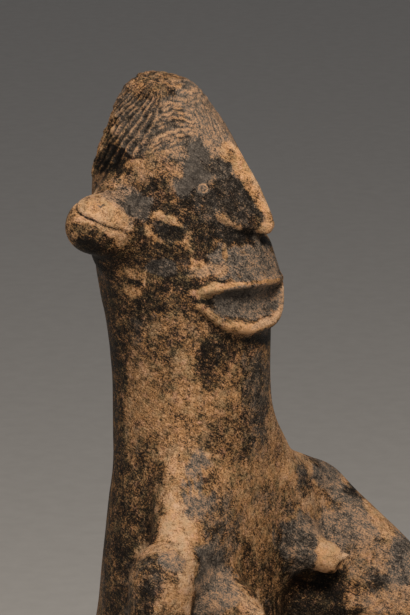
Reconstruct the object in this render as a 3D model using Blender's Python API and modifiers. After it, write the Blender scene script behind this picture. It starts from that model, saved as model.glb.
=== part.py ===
"""Terracotta maternity figure: one piece of hand-built clay, kneeling on a low oval base.

The figure faces -Y and its right hand is towards -X. Sizes below are millimetres, measured forward of
the neck's axis, to the figure's right, and up from the underside. place() turns them into metres.
"""

import math

import bmesh
import bpy
import numpy as np
from mathutils import Matrix, Vector

MM = 0.001
NAME = "maternity_figure"
SIDES = (1, -1)  # the figure's right, then its left

# Head, neck and torso: height, back, front and half width of each level, without nose, lips and ears
HEIGHT = 500.0
CROWN_FORWARD = -24.0
LEVELS = (
    (498.5, -31.0, -15.5, 7.0),
    (494.6, -37.5, -2.0, 15.0),
    (487.8, -43.0, 5.2, 19.8),
    (481.1, -45.3, 9.8, 23.0),
    (467.6, -50.5, 20.4, 29.0),
    (454.1, -56.2, 27.5, 33.8),
    (440.6, -58.9, 31.4, 37.4),
    (423.7, -58.3, 36.3, 40.2),
    (406.9, -57.0, 41.5, 42.4),
    (390.0, -55.0, 43.0, 44.6),
    (373.2, -51.0, 43.5, 45.7),
    (352.9, -46.8, 43.5, 44.6),
    (332.7, -44.6, 43.5, 43.7),
    (285.5, -43.5, 43.2, 44.0),
    (272.0, -44.0, 44.0, 48.0),
    (251.8, -46.2, 46.2, 52.5),
    (204.6, -51.3, 48.4, 55.5),
    (170.8, -56.0, 50.6, 56.7),
    (125.9, -57.2, 56.0, 59.4),
    (80.9, -61.6, 59.4, 63.8),
    (47.2, -61.6, 55.0, 62.7),
    (14.0, -56.0, 48.0, 57.0),
)
RING_POINTS = 48

# The face is a wedge: its ridge carries the forehead down into the nose. Height, and how far forward
RIDGE = (
    (474.0, 16.0),
    (463.9, 25.8),
    (457.5, 30.8),
    (451.2, 35.0),
    (438.6, 43.4),
    (425.7, 50.0),
    (420.0, 52.4),
    (416.8, 50.2),
)
NOSE_BASE_RISE = 12.0  # how much higher the nose ends beside the cheek than at its tip
RIDGE_RADIUS = 2.8
WING_RADIUS = 3.2
SEPTUM = ((34.0, 0.0, 423.0), (44.0, 0.0, 419.0))
SEPTUM_RADIUS = 5.5
WING_ENDS = ((30.2, 22.0, 427.0), (37.0, 14.0, 421.5), (44.0, 4.0, 420.5))

# Lips: an oval in plan, with its corners on the cheeks
LIPS_FORWARD = 21.5
LIPS_DEPTH = 29.7
LIPS_HALF_WIDTH = 39.6
LIP_CORNER_TURN = {1: math.radians(90.0), -1: math.radians(46.0)}
UPPER_LIP_HEIGHT = 387.0
UPPER_LIP_CORNER_DROP = {1: 7.0, -1: 3.5}
UPPER_LIP_TILT = 2.6
UPPER_LIP_REACH = 0.955
MUZZLE_LEVELS = ((414.0, 0.62), (407.0, 0.755), (400.0, 0.82), (393.5, 0.885))
LOWER_LIP_HEIGHT = 365.4
LOWER_LIP_CORNER_RISE = {1: 14.6, -1: 16.5}
LOWER_LIP_RISE_END = {1: 0.86, -1: 1.0}
LOWER_LIP_RISE_BEND = {1: 2.9, -1: 1.9}
LOWER_LIP_FOOT = 351.0
LOWER_LIP_FOOT_RISE = 19.0
RIM_RADIUS = 3.1
RIM_DROOP = 1.5  # how much thicker the rim hangs on the figure's right
UPPER_ROLL_RADIUS = 1.6
UPPER_ROLL_CORNER_RADIUS = 3.6
MOUTH_SLIT_HEIGHT = 386.5
MOUTH_SLIT_REACH = 0.85
MOUTH_RIM_REACH = 0.90

# Ears: coffee beans that stand out behind the cheeks, each with a slanting slit
EAR_CENTRE = (-24.5, 55.3, 422.3)
EAR_RADII = (22.6, 15.2, 18.2)  # outward, along the head, up
EAR_TURN = math.radians(117.0)  # from the face's front
EAR_SLIT_FORWARD = -24.0
EAR_SLIT_HEIGHT = 429.0
EAR_SLIT_SLOPE = -0.5
EAR_SLIT_HALF_WIDTH = 1.3
EAR_SLIT_DEPTH = 1.5
EAR_STALK_ROOT = (-16.0, 20.0, 414.0)
EAR_STALK_RADIUS = 24.0
EAR_HEEL = (-27.5, 36.5, 417.0)
EAR_HEEL_RADII = (16.0, 16.0, 30.0)
EAR_SLIT_START = 45.0
EAR_SLIT_END = -10.5

# Eyes: a small stamped ring on the wedge and a low bean on the cheek
RING_EYE = (22.4, 25.5, 442.0)
RING_EYE_RADIUS = 2.6
BEAN_EYE = (8.0, 38.0, 418.5)
BEAN_EYE_HALF_LENGTH = 13.0
BEAN_EYE_HALF_HEIGHT = 8.5
BEAN_EYE_SLOPE = 0.6
BEAN_EYE_RELIEF = 0.9

# Hair: grooves that fan out from the crown, and waves across the front
HAIRLINE_HEIGHT = 460.0
HAIRLINE_SLOPE = 0.36
HAIR_GROOVES = 44
FAN_FORWARD = -14.0
FAN_HEIGHT = 485.0
FAN_LEAN = 0.62
HAIR_DEPTH = 0.85
HAIR_WAVE_PITCH = 4.2
HAIR_WAVE_DEPTH = 0.45
HAIR_FRONT_TURN = math.radians(62.0)
CROWN_BALD_RADIUS = 13.0

# Shoulders, arms and breasts; the left side is carried higher than the right
SHOULDER = {1: (24.8, 75.9, 236.5), -1: (29.0, 83.5, 251.5)}
SHOULDER_RADIUS = {1: 19.0, -1: 18.5}
NECK_SIDE = {1: (12.0, 25.0, 300.0), -1: (10.5, 21.0, 276.0)}
NECK_SIDE_RADIUS = {1: 17.0, -1: 20.0}
SHOULDER_RIDGE = {1: (27.0, 66.0, 238.0), -1: (31.0, 89.0, 248.5)}
SHOULDER_RIDGE_RADIUS = {1: 14.5, -1: 17.8}
NECK_FRONT = (24.0, 0.0, 285.0)
NECK_FRONT_RADIUS = 19.0
CHEST = (20.0, 0.0, 225.0)
CHEST_RADIUS = 26.0
CHEST_SIDE = {1: (4.0, 0.0, 225.0), -1: (20.0, 0.0, 225.0)}
WEB_END_RADIUS = {1: 10.0, -1: 18.5}  # thin under the right arm, which stands clear of the chest
WAIST = (-4.0, 0.0, 180.0)
WAIST_RADIUS = 45.0
NECK_FLARE = ((6.0, -5.0, 318.0), (11.5, -12.0, 299.0), (18.0, -30.0, 280.0))
NECK_FLARE_RADII = (37.0, 32.0, 25.0)
ARM_RADIUS = 18.2
ELBOW = {1: (22.0, 78.0, 152.0), -1: (106.0, 80.0, 200.0)}
ELBOW_RADIUS = 16.0
WRIST = {1: (82.0, 50.0, 112.0), -1: (98.0, 20.0, 130.0)}
WRIST_RADIUS = 12.0
PALM = {1: (104.0, 38.0, 108.0), -1: (102.0, 2.0, 120.0)}
PALM_RADII = (13.0, 16.0, 8.0)
ARMPIT = (38.0, 54.0, 188.0)  # the left arm is thick and runs into the chest below it
ARMPIT_RADIUS = 20.0
BREAST_ROOT = {1: (31.0, 39.0, 219.0), -1: (28.0, 38.0, 232.0)}
BREAST_END = {1: (50.5, 41.0, 214.5), -1: (47.0, 40.0, 228.0)}
BREAST_ROOT_RADIUS = {1: 19.0, -1: 27.0}
BREAST_END_RADIUS = {1: 15.5, -1: 16.0}

# Nipples: thick nubs with a scooped end and a small beak above it
NUB_ROOT = {1: (59.5, 41.5, 212.5), -1: (62.5, 41.5, 225.5)}
NUB_END = {1: (62.5, 42.0, 210.3), -1: (65.5, 42.0, 223.3)}
NUB_ROOT_RADIUS = 9.0
NUB_END_RADIUS = 7.0
BEAK_ROOT = {1: (64.0, 42.5, 213.0), -1: (67.0, 42.5, 226.0)}
BEAK_TIP = {1: (71.5, 44.0, 214.4), -1: (75.0, 44.0, 227.4)}
BEAK_ROOT_RADIUS = 3.6
BEAK_TIP_RADIUS = 1.7
SCOOP = {1: (70.0, 43.0, 206.8), -1: (73.0, 43.0, 219.8)}
SCOOP_RADIUS = 5.4

# Kneeling legs and the base
HIP = (10.0, 33.0, 66.0)
HIP_RADIUS = 30.0
KNEE = (98.0, 40.0, 62.0)
KNEE_RADIUS = 22.5
SHIN = (92.0, 40.0, 31.0)
SHIN_RADIUS = 17.5
HEEL = (-52.0, 34.0, 28.0)
HEEL_RADIUS = 14.0
TOES = (-70.0, 30.0, 20.0)
TOES_RADIUS = 10.0
BASE_FORWARD = 25.0
BASE_HALF_LENGTH = 103.0
BASE_HALF_WIDTH = 72.0
BASE_THICKNESS = 13.5
SAW_ALLOWANCE = 4.0  # clay below the underside, cut off flat at the end

# The child across the lap, its head in the crook of the left arm
CHILD_HEAD = (88.0, -42.0, 176.0)
CHILD_HEAD_RADII = (20.0, 18.5, 21.0)
CHILD_CHEST = (84.0, -18.0, 150.0)
CHILD_SEAT = (86.0, 16.0, 118.0)
CHILD_CHEST_RADIUS = 19.5
CHILD_SEAT_RADIUS = 23.0
CHILD_KNEES = ((108.0, 30.0, 124.0), (92.0, 44.0, 112.0))
CHILD_KNEE_RADIUS = 13.0

# Modelling grain: voxel sizes of the rough and the fine clay, smoothing rounds, and triangles kept
ROUGH_VOXEL = 2.4
ROUGH_ROUNDS = 40
FINE_VOXEL = 1.5
FACE_ROUNDS = 5
FINE_ROUNDS = 2
CUTTER_VOXEL = 0.9
FACETS = 9400

CLAY_COLOUR = (0.30, 0.19, 0.12, 1.0)
CLAY_ROUGHNESS = 0.72


def place(forward, right, up):
    """A point in metres, from the figure's own directions in millimetres."""
    return Vector((-right, -forward, up)) * MM


def mix(low, high, share):
    """The value, or the point, a share of the way from low to high."""
    if isinstance(low, tuple):
        return tuple(mix(a, b, share) for a, b in zip(low, high))
    return low + (high - low) * share


def mirrored(point, side):
    """A point given for the figure's right side, on either side."""
    forward, right, up = point
    return (forward, right * side, up)


def mesh_object(name, mesh):
    thing = bpy.data.objects.new(name, mesh)
    bpy.context.scene.collection.objects.link(thing)
    return thing


def modified(thing, kind, **settings):
    """Applies one modifier to a mesh object, and gives the object back."""
    modifier = thing.modifiers.new(kind.title(), kind)
    for setting, value in settings.items():
        setattr(modifier, setting, value)
    bpy.context.view_layer.update()
    graph = bpy.context.evaluated_depsgraph_get()
    result = bpy.data.meshes.new_from_object(thing.evaluated_get(graph))
    thing.modifiers.clear()
    before = thing.data
    thing.data = result
    bpy.data.meshes.remove(before)
    return thing


def joined(name, lumps):
    """One mesh object that holds every lump's shell, with the lumps removed."""
    shells = bmesh.new()
    for lump in lumps:
        shell = lump.data.copy()
        shell.transform(lump.matrix_world)
        shells.from_mesh(shell)
        bpy.data.meshes.remove(shell)
        bpy.data.objects.remove(lump)
    mesh = bpy.data.meshes.new(name)
    shells.to_mesh(mesh)
    shells.free()
    return mesh_object(name, mesh)


def kneaded(name, lumps, voxel, rounds):
    """The lumps as one closed body of clay, with the joints between them smoothed over."""
    body = joined(name, lumps)
    modified(body, "REMESH", mode="VOXEL", voxel_size=voxel * MM)
    modified(body, "SMOOTH", factor=0.5, iterations=rounds)
    return body


def ball(centre, radii, turn=0.0, tilt=0.0):
    """An ellipsoid: its radii run outward, along and up, turned from the front and tilted down."""
    shell = bmesh.new()
    bmesh.ops.create_uvsphere(shell, u_segments=32, v_segments=18, radius=1.0)
    mesh = bpy.data.meshes.new("ball")
    shell.to_mesh(mesh)
    shell.free()
    outward, along, up = radii
    scale = Matrix.Diagonal((along * MM, outward * MM, up * MM, 1.0))
    swing = Matrix.Rotation(-turn, 4, "Z") @ Matrix.Rotation(tilt, 4, "X")
    mesh.transform(Matrix.Translation(place(*centre)) @ swing @ scale)
    return mesh_object("ball", mesh)


def limb(points, radii):
    """A tapering roll of clay through the points, round at both ends."""
    curve = bpy.data.curves.new("limb", "CURVE")
    curve.dimensions = "3D"
    curve.bevel_depth = 1.0
    curve.bevel_resolution = 6
    curve.use_fill_caps = True
    spline = curve.splines.new("POLY")
    spline.points.add(len(points) - 1)
    for knot, point, radius in zip(spline.points, points, radii):
        knot.co = (*place(*point), 1.0)
        knot.radius = radius * MM
    guide = bpy.data.objects.new("limb", curve)
    bpy.context.scene.collection.objects.link(guide)
    bpy.context.view_layer.update()
    graph = bpy.context.evaluated_depsgraph_get()
    mesh = bpy.data.meshes.new_from_object(guide.evaluated_get(graph))
    bpy.data.objects.remove(guide)
    bpy.data.curves.remove(curve)
    welded = bmesh.new()
    welded.from_mesh(mesh)
    bmesh.ops.remove_doubles(welded, verts=welded.verts, dist=0.01 * MM)
    welded.to_mesh(mesh)
    welded.free()
    roll = mesh_object("limb", mesh)
    ends = [ball(points[end], (radii[end],) * 3) for end in (0, -1)]
    knuckles = [ball(point, (radius,) * 3) for point, radius in zip(points[1:-1], radii[1:-1])]
    return [roll, *ends, *knuckles]


def web(*balls):
    """The tight skin of clay round several balls, each given by its centre and radius."""
    skin = bmesh.new()
    for centre, radius in balls:
        where = Matrix.Translation(place(*centre))
        bmesh.ops.create_uvsphere(
            skin, u_segments=32, v_segments=18, radius=radius * MM, matrix=where
        )
    bmesh.ops.delete(skin, geom=skin.faces[:], context="FACES_ONLY")
    bmesh.ops.delete(skin, geom=skin.edges[:], context="EDGES_FACES")
    hull = bmesh.ops.convex_hull(skin, input=skin.verts)
    bmesh.ops.delete(skin, geom=hull["geom_interior"], context="VERTS")
    mesh = bpy.data.meshes.new("web")
    skin.to_mesh(mesh)
    skin.free()
    return mesh_object("web", mesh)


def loft(rings):
    """A closed solid through rings of points that all have one count, capped at both ends."""
    shell = bmesh.new()
    rows = [[shell.verts.new(place(*point)) for point in ring] for ring in rings]
    count = len(rows[0])
    for lower, upper in zip(rows, rows[1:]):
        for step in range(count):
            after = (step + 1) % count
            shell.faces.new((lower[step], lower[after], upper[after], upper[step]))
    for row in (rows[0], rows[-1]):
        middle = sum((corner.co for corner in row), Vector()) / count
        centre = shell.verts.new(middle)
        for step in range(count):
            shell.faces.new((row[step], row[(step + 1) % count], centre))
    bmesh.ops.recalc_face_normals(shell, faces=shell.faces)
    mesh = bpy.data.meshes.new("loft")
    shell.to_mesh(mesh)
    shell.free()
    return mesh_object("loft", mesh)


def column():
    """Head, neck and torso as one tall form of oval levels."""
    rings = []
    for height, back, front, half_width in LEVELS:
        middle = (front + back) / 2
        reach = (front - back) / 2
        ring = []
        for step in range(RING_POINTS):
            turn = 2 * math.pi * step / RING_POINTS
            ring.append((middle + reach * math.cos(turn), half_width * math.sin(turn), height))
        rings.append(ring)
    crown = ball((CROWN_FORWARD, 0.0, HEIGHT - 12.0), (13.0, 11.5, 12.0))
    return [loft(rings), crown]


def level_at(height):
    """The middle, the reach to front and back, and the half width of the head at a height."""
    heights = [level[0] for level in reversed(LEVELS)]
    back, front, half_width = (
        float(np.interp(height, heights, [level[column] for level in reversed(LEVELS)]))
        for column in (1, 2, 3)
    )
    return (front + back) / 2, (front - back) / 2, half_width


def face_wedge():
    """The planes that run from the ridge back to where they touch the head's oval."""
    rings = []
    for height, ridge in RIDGE:
        middle, reach, half_width = level_at(height)
        touch = min(reach / (ridge - middle), 0.999)
        forward = middle + reach * touch - 0.5
        side = half_width * math.sqrt(1 - touch**2)
        share = (RIDGE[0][0] - height) / (RIDGE[0][0] - RIDGE[-1][0])
        side_height = height + NOSE_BASE_RISE * share**6
        rings.append(
            (
                (ridge - RIDGE_RADIUS * 0.3, 0.0, height),
                (forward, side, side_height),
                (middle, side * 0.8, side_height),
                (middle, -side * 0.8, side_height),
                (forward, -side, side_height),
            )
        )
    return loft(rings)


def nose_rolls():
    """The rounded ridge down to the nose's tip, and the wings beside it."""
    ridge = [(forward - RIDGE_RADIUS, 0.0, height) for height, forward in RIDGE]
    rolls = limb(ridge, [RIDGE_RADIUS] * len(ridge))
    rolls += limb(SEPTUM, (SEPTUM_RADIUS, SEPTUM_RADIUS))
    for side in SIDES:
        ends = [mirrored(end, side) for end in WING_ENDS]
        rolls += limb(ends, (WING_RADIUS * 0.7, WING_RADIUS, WING_RADIUS))
    return rolls


def side_of(turn):
    return 1 if turn > 0 else -1


def lip_share(turn):
    """0 at the front of the lips and 1 at their corners."""
    return min(abs(turn) / LIP_CORNER_TURN[side_of(turn)], 1.0)


def upper_lip_height(turn):
    tilt = UPPER_LIP_TILT * math.sin(turn)
    return UPPER_LIP_HEIGHT + tilt - UPPER_LIP_CORNER_DROP[side_of(turn)] * lip_share(turn) ** 2.3


def lower_lip_height(turn):
    side = side_of(turn)
    share = min(lip_share(turn) / LOWER_LIP_RISE_END[side], 1.0)
    return LOWER_LIP_HEIGHT + LOWER_LIP_CORNER_RISE[side] * share ** LOWER_LIP_RISE_BEND[side]


def lip_point(turn, reach, height):
    """A point of the lips' oval in plan, at a share of its size."""
    forward = LIPS_FORWARD + LIPS_DEPTH * reach * math.cos(turn)
    right = LIPS_HALF_WIDTH * reach * math.sin(turn)
    return (forward, right, height)


def lip_ring(reach, height_at):
    turns = [math.tau * step / RING_POINTS - math.pi for step in range(RING_POINTS)]
    return [lip_point(turn, reach, height_at(turn)) for turn in turns]


def muzzle():
    """The mass above the mouth, whose lower edge is the upper lip."""
    rings = [lip_ring(reach, lambda turn, level=level: level) for level, reach in MUZZLE_LEVELS]
    rings.append(lip_ring(UPPER_LIP_REACH, upper_lip_height))
    return loft(rings)


def lower_jaw():
    """The mass below the mouth, which carries the lower lip's rim."""
    rim_top = RIM_RADIUS * 0.6

    def foot(turn):
        return LOWER_LIP_FOOT + LOWER_LIP_FOOT_RISE * lip_share(turn) ** 2

    rings = [
        lip_ring(0.60, foot),
        lip_ring(0.78, lambda turn: mix(foot(turn), lower_lip_height(turn), 0.5)),
        lip_ring(0.91, lower_lip_height),
        lip_ring(0.87, lambda turn: lower_lip_height(turn) + rim_top),
        lip_ring(0.60, lambda turn: MOUTH_SLIT_HEIGHT),
    ]
    return loft(rings)


def mouth_cutter():
    """The open mouth: a bowl behind the lower lip that rises to a slit under the upper lip."""
    steps = 40
    rings = []
    for step in range(steps + 1):
        turn = mix(-LIP_CORNER_TURN[-1], LIP_CORNER_TURN[1], step / steps) * 0.98
        share = lip_share(turn)
        slit_reach = mix(MOUTH_SLIT_REACH, 0.94, share ** (3.0 if turn > 0 else 0.7))
        top = upper_lip_height(turn)
        bottom = min(lower_lip_height(turn) + RIM_RADIUS * 0.5, top - 0.6)
        slit = max(min(MOUTH_SLIT_HEIGHT, top - 1.4), (top + bottom) / 2)
        bowl_reach = mix(slit_reach, MOUTH_RIM_REACH, 0.45)
        bowl = mix(bottom, slit, 0.36)
        rings.append(
            [
                lip_point(turn, 1.35, top + 1.0),
                lip_point(turn, UPPER_LIP_REACH, top),
                lip_point(turn, slit_reach, min(slit + 1.2, top - 0.3)),
                lip_point(turn, slit_reach, slit - 0.2),
                lip_point(turn, bowl_reach, bowl),
                lip_point(turn, max(MOUTH_RIM_REACH, slit_reach + 0.01), bottom - 1.2 * (1 - share)),
                lip_point(turn, 1.0, bottom),
                lip_point(turn, 1.35, bottom),
            ]
        )
    return loft(rings)


def lip_rolls():
    """The thin roll of the upper lip and the thick rim of the lower one."""
    upper_points = []
    upper_radii = []
    lower_points = []
    lower_radii = []
    steps = 28
    for step in range(steps + 1):
        turn = mix(-LIP_CORNER_TURN[-1], LIP_CORNER_TURN[1], step / steps)
        share = lip_share(turn)
        radius = mix(UPPER_ROLL_RADIUS, UPPER_ROLL_CORNER_RADIUS, share**2)
        reach = UPPER_LIP_REACH + 0.03 - radius / LIPS_DEPTH
        upper_points.append(lip_point(turn, reach, upper_lip_height(turn) + radius))
        upper_radii.append(radius)
        droop = RIM_DROOP * max(math.sin(turn), 0.0) * (1.0 - share**3)
        rim = RIM_RADIUS * mix(1.0, 0.75, share**3) + droop * 0.5
        lower_points.append(lip_point(turn, 1.0 - rim / LIPS_DEPTH, lower_lip_height(turn) - droop))
        lower_radii.append(rim)
    return limb(upper_points, upper_radii) + limb(lower_points, lower_radii)


def ears():
    lumps = []
    for side in SIDES:
        centre = mirrored(EAR_CENTRE, side)
        lumps.append(ball(centre, EAR_RADII, turn=EAR_TURN * side))
        lumps.append(ball(mirrored(EAR_HEEL, side), EAR_HEEL_RADII))
        root = mirrored(EAR_STALK_ROOT, side)
        lumps += limb((root, centre), (EAR_STALK_RADIUS, EAR_RADII[1]))
    return lumps


def arms():
    lumps = []
    for side in SIDES:
        shoulder = mirrored(SHOULDER[side], side)
        elbow = mirrored(ELBOW[side], side)
        wrist = mirrored(WRIST[side], side)
        palm = mirrored(PALM[side], side)
        lumps.append(ball(shoulder, (SHOULDER_RADIUS[side],) * 3))
        lumps += limb((shoulder, elbow), (ARM_RADIUS, ELBOW_RADIUS))
        lumps += limb((elbow, wrist), (ELBOW_RADIUS, WRIST_RADIUS))
        lumps += limb((wrist, palm), (WRIST_RADIUS, PALM_RADII[2]))
        lumps.append(ball(palm, PALM_RADII, turn=0.3 * side))
    return lumps


def shoulders():
    """Broad webs of clay from the neck and the chest out to the arms."""
    lumps = limb(NECK_FLARE, NECK_FLARE_RADII)
    chest = (CHEST, CHEST_RADIUS)
    front = (NECK_FRONT, NECK_FRONT_RADIUS)
    tops = {side: (mirrored(SHOULDER[side], side), SHOULDER_RADIUS[side]) for side in SIDES}
    for side in SIDES:
        neck = (mirrored(NECK_SIDE[side], side), NECK_SIDE_RADIUS[side])
        ridge = (mirrored(SHOULDER_RIDGE[side], side), SHOULDER_RIDGE_RADIUS[side])
        lumps.append(web(neck, ridge, chest, front))
        web_end = (mirrored(SHOULDER[side], side), WEB_END_RADIUS[side])
        lumps.append(web(web_end, (CHEST_SIDE[side], CHEST_RADIUS), (WAIST, WAIST_RADIUS)))
    left_elbow = (mirrored(ELBOW[-1], -1), ELBOW_RADIUS)
    armpit = (mirrored(ARMPIT, -1), ARMPIT_RADIUS)
    lumps.append(web(tops[-1], left_elbow, armpit))
    return lumps


def breasts():
    lumps = []
    for side in SIDES:
        root = mirrored(BREAST_ROOT[side], side)
        end = mirrored(BREAST_END[side], side)
        lumps += limb((root, end), (BREAST_ROOT_RADIUS[side], BREAST_END_RADIUS[side]))
    return lumps


def nipples():
    lumps = []
    for side in SIDES:
        root, end, beak, tip = (
            mirrored(points[side], side) for points in (NUB_ROOT, NUB_END, BEAK_ROOT, BEAK_TIP)
        )
        lumps += limb((root, end), (NUB_ROOT_RADIUS, NUB_END_RADIUS))
        lumps += limb((beak, tip), (BEAK_ROOT_RADIUS, BEAK_TIP_RADIUS))
    return lumps


def scoops():
    return [ball(mirrored(SCOOP[side], side), (SCOOP_RADIUS,) * 3) for side in SIDES]


def legs():
    lumps = []
    for side in SIDES:
        hip, knee, shin, heel, toes = (
            mirrored(point, side) for point in (HIP, KNEE, SHIN, HEEL, TOES)
        )
        lumps += limb((hip, knee), (HIP_RADIUS, KNEE_RADIUS))
        lumps += limb((knee, shin), (KNEE_RADIUS, SHIN_RADIUS))
        lumps += limb((shin, heel), (SHIN_RADIUS, HEEL_RADIUS))
        lumps += limb((heel, toes), (HEEL_RADIUS, TOES_RADIUS))
    return lumps


def base():
    """A low oval slab under the knees and feet."""
    slab = bmesh.new()
    bmesh.ops.create_cone(
        slab, cap_ends=True, segments=96, radius1=1.0, radius2=1.0, depth=1.0
    )
    mesh = bpy.data.meshes.new("base")
    slab.to_mesh(mesh)
    slab.free()
    thickness = BASE_THICKNESS + SAW_ALLOWANCE
    scale = Matrix.Diagonal((BASE_HALF_WIDTH * MM, BASE_HALF_LENGTH * MM, thickness * MM, 1.0))
    middle = place(BASE_FORWARD, 0.0, BASE_THICKNESS - thickness / 2)
    mesh.transform(Matrix.Translation(middle) @ scale)
    return mesh_object("base", mesh)


def child():
    """A plain infant: head, rounded body and drawn-up knees."""
    lumps = [ball(CHILD_HEAD, CHILD_HEAD_RADII)]
    lumps += limb((CHILD_CHEST, CHILD_SEAT), (CHILD_CHEST_RADIUS, CHILD_SEAT_RADIUS))
    for knee in CHILD_KNEES:
        lumps += limb((CHILD_SEAT, knee), (CHILD_SEAT_RADIUS * 0.7, CHILD_KNEE_RADIUS))
    return lumps


def smooth_step(low, high, values):
    share = np.clip((values - low) / (high - low), 0.0, 1.0)
    return share * share * (3.0 - 2.0 * share)


def vertex_data(mesh):
    """Every vertex as forward, right and up in millimetres, and its outward normal."""
    count = len(mesh.vertices)
    points = np.empty(count * 3)
    mesh.vertices.foreach_get("co", points)
    points = points.reshape(-1, 3)
    normals = np.empty(count * 3)
    mesh.vertex_normals.foreach_get("vector", normals)
    normals = normals.reshape(-1, 3)
    forward = -points[:, 1] / MM
    right = -points[:, 0] / MM
    up = points[:, 2] / MM
    return points, normals, forward, right, up


def hair_relief(forward, right, up):
    """Combed grooves, deepest down the sides and back."""
    crown_axis = FAN_FORWARD - FAN_LEAN * (FAN_HEIGHT - up)
    turn = np.abs(np.arctan2(right, forward - crown_axis))
    radius = np.hypot(right, forward - crown_axis)
    hairline = HAIRLINE_HEIGHT + HAIRLINE_SLOPE * forward
    inside = smooth_step(-0.5, 2.0, up - hairline)
    fan = np.sin(HAIR_GROOVES * turn + 0.25 * np.sin(up * 0.35))
    fan_depth = HAIR_DEPTH * smooth_step(CROWN_BALD_RADIUS, CROWN_BALD_RADIUS + 8.0, radius)
    slope_distance = up - 0.55 * forward
    waves = np.sin(math.tau * slope_distance / HAIR_WAVE_PITCH + 1.1 * np.sin(turn * 5.0))
    front = smooth_step(HAIR_FRONT_TURN + 0.15, HAIR_FRONT_TURN - 0.15, turn)
    relief = fan * fan_depth * (1.0 - front) + waves * HAIR_WAVE_DEPTH * front
    return relief * inside


def ear_slit_relief(forward, right, up):
    """The slanting slit that parts each bean-shaped ear."""
    off_slit = up - (EAR_SLIT_HEIGHT + EAR_SLIT_SLOPE * (forward - EAR_SLIT_FORWARD))
    on_ear = smooth_step(EAR_SLIT_START, EAR_SLIT_START + 5.0, np.abs(right))
    on_ear = on_ear * smooth_step(EAR_SLIT_END + 3.0, EAR_SLIT_END, forward)
    return -EAR_SLIT_DEPTH * np.exp(-((off_slit / EAR_SLIT_HALF_WIDTH) ** 2)) * on_ear


def ring_eye_relief(forward, right, up):
    """A small raised ring with a sunk middle on each side of the ridge."""
    eye_forward, eye_right, eye_up = RING_EYE
    distance = np.sqrt(
        (forward - eye_forward) ** 2 + (np.abs(right) - eye_right) ** 2 + (up - eye_up) ** 2
    )
    ring = np.exp(-(((distance - RING_EYE_RADIUS) / 1.1) ** 2))
    return 0.7 * ring


def bean_eye_relief(forward, right, up):
    """A worn bean-shaped eye, low on each cheek."""
    eye_forward, eye_right, eye_up = BEAN_EYE
    along = (forward - eye_forward) / BEAN_EYE_HALF_LENGTH
    across = (up - eye_up + BEAN_EYE_SLOPE * (forward - eye_forward)) / BEAN_EYE_HALF_HEIGHT
    near = np.exp(-(((np.abs(right) - eye_right) / 14.0) ** 4))
    oval = np.sqrt(along**2 + across**2)
    lids = np.exp(-(((oval - 0.8) / 0.28) ** 2))
    return BEAN_EYE_RELIEF * lids * near


def carved(body):
    """Moves the surface in and out along its normals, as a tool or a thumb would."""
    points, normals, forward, right, up = vertex_data(body.data)
    relief = hair_relief(forward, right, up)
    relief += ear_slit_relief(forward, right, up)
    relief += ring_eye_relief(forward, right, up)
    relief += bean_eye_relief(forward, right, up)
    points = points + normals * (relief * MM)[:, None]
    body.data.vertices.foreach_set("co", points.ravel())
    body.data.update()
    return body


def faceted(body, count):
    """Brings the surface down to a number of triangles."""
    modified(body, "TRIANGULATE")
    return modified(body, "DECIMATE", ratio=count / len(body.data.polygons))


def sawn_flat(body):
    """Cuts the underside flat."""
    clay = bmesh.new()
    clay.from_mesh(body.data)
    everything = [*clay.verts, *clay.edges, *clay.faces]
    cut = bmesh.ops.bisect_plane(
        clay, geom=everything, plane_co=(0, 0, 0), plane_no=(0, 0, 1), clear_inner=True
    )
    rim = [part for part in cut["geom_cut"] if isinstance(part, bmesh.types.BMEdge)]
    bmesh.ops.contextual_create(clay, geom=rim)
    bmesh.ops.triangulate(clay, faces=[face for face in clay.faces if len(face.verts) > 3])
    bmesh.ops.recalc_face_normals(clay, faces=clay.faces)
    clay.to_mesh(body.data)
    clay.free()
    return body


def centred(body):
    """Moves the mesh so that the origin is under the middle of the space the figure takes up."""
    corners = [corner.co for corner in body.data.vertices]
    low = [min(corner[axis] for corner in corners) for axis in range(3)]
    high = [max(corner[axis] for corner in corners) for axis in range(3)]
    shift = Vector((-(low[0] + high[0]) / 2, -(low[1] + high[1]) / 2, -low[2]))
    body.data.transform(Matrix.Translation(shift))
    return body


def clay_material():
    clay = bpy.data.materials.new("worn_terracotta")
    clay.use_nodes = True
    shader = clay.node_tree.nodes["Principled BSDF"]
    shader.inputs["Base Color"].default_value = CLAY_COLOUR
    shader.inputs["Roughness"].default_value = CLAY_ROUGHNESS
    shader.inputs["Metallic"].default_value = 0.0
    return clay


def build_figure():
    masses = column() + ears() + shoulders() + arms() + breasts() + legs() + child() + [base()]
    body = kneaded("rough_clay", masses, ROUGH_VOXEL, ROUGH_ROUNDS)
    details = [face_wedge(), muzzle(), lower_jaw(), *nose_rolls(), *nipples()]
    body = kneaded("face_clay", [body, *details], FINE_VOXEL, FACE_ROUNDS)
    cutter = kneaded("hollows", [mouth_cutter(), *scoops()], CUTTER_VOXEL, 1)
    modified(body, "BOOLEAN", operation="DIFFERENCE", object=cutter)
    bpy.data.objects.remove(cutter)
    body = kneaded(NAME, [body, *lip_rolls()], FINE_VOXEL, FINE_ROUNDS)
    return sawn_flat(faceted(carved(body), FACETS))


def main():
    for old in list(bpy.data.objects):
        bpy.data.objects.remove(old)
    figure = centred(build_figure())
    figure.data.materials.append(clay_material())
    figure.data.shade_smooth()
    group = bpy.data.collections.new(NAME)
    bpy.context.scene.collection.children.link(group)
    group.objects.link(figure)
    bpy.context.scene.collection.objects.unlink(figure)


if __name__ == "__main__":
    main()
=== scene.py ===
"""The looks of the terracotta maternity figure: the fine sculpt, worn slip over clay, light and camera.

The figure is modelled in its own directions, in millimetres: forward of the neck's axis, to the figure's
right, and up from the underside. place() turns them into metres. settled() then fits the finished mesh to
the frame's box.
"""

import math

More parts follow.
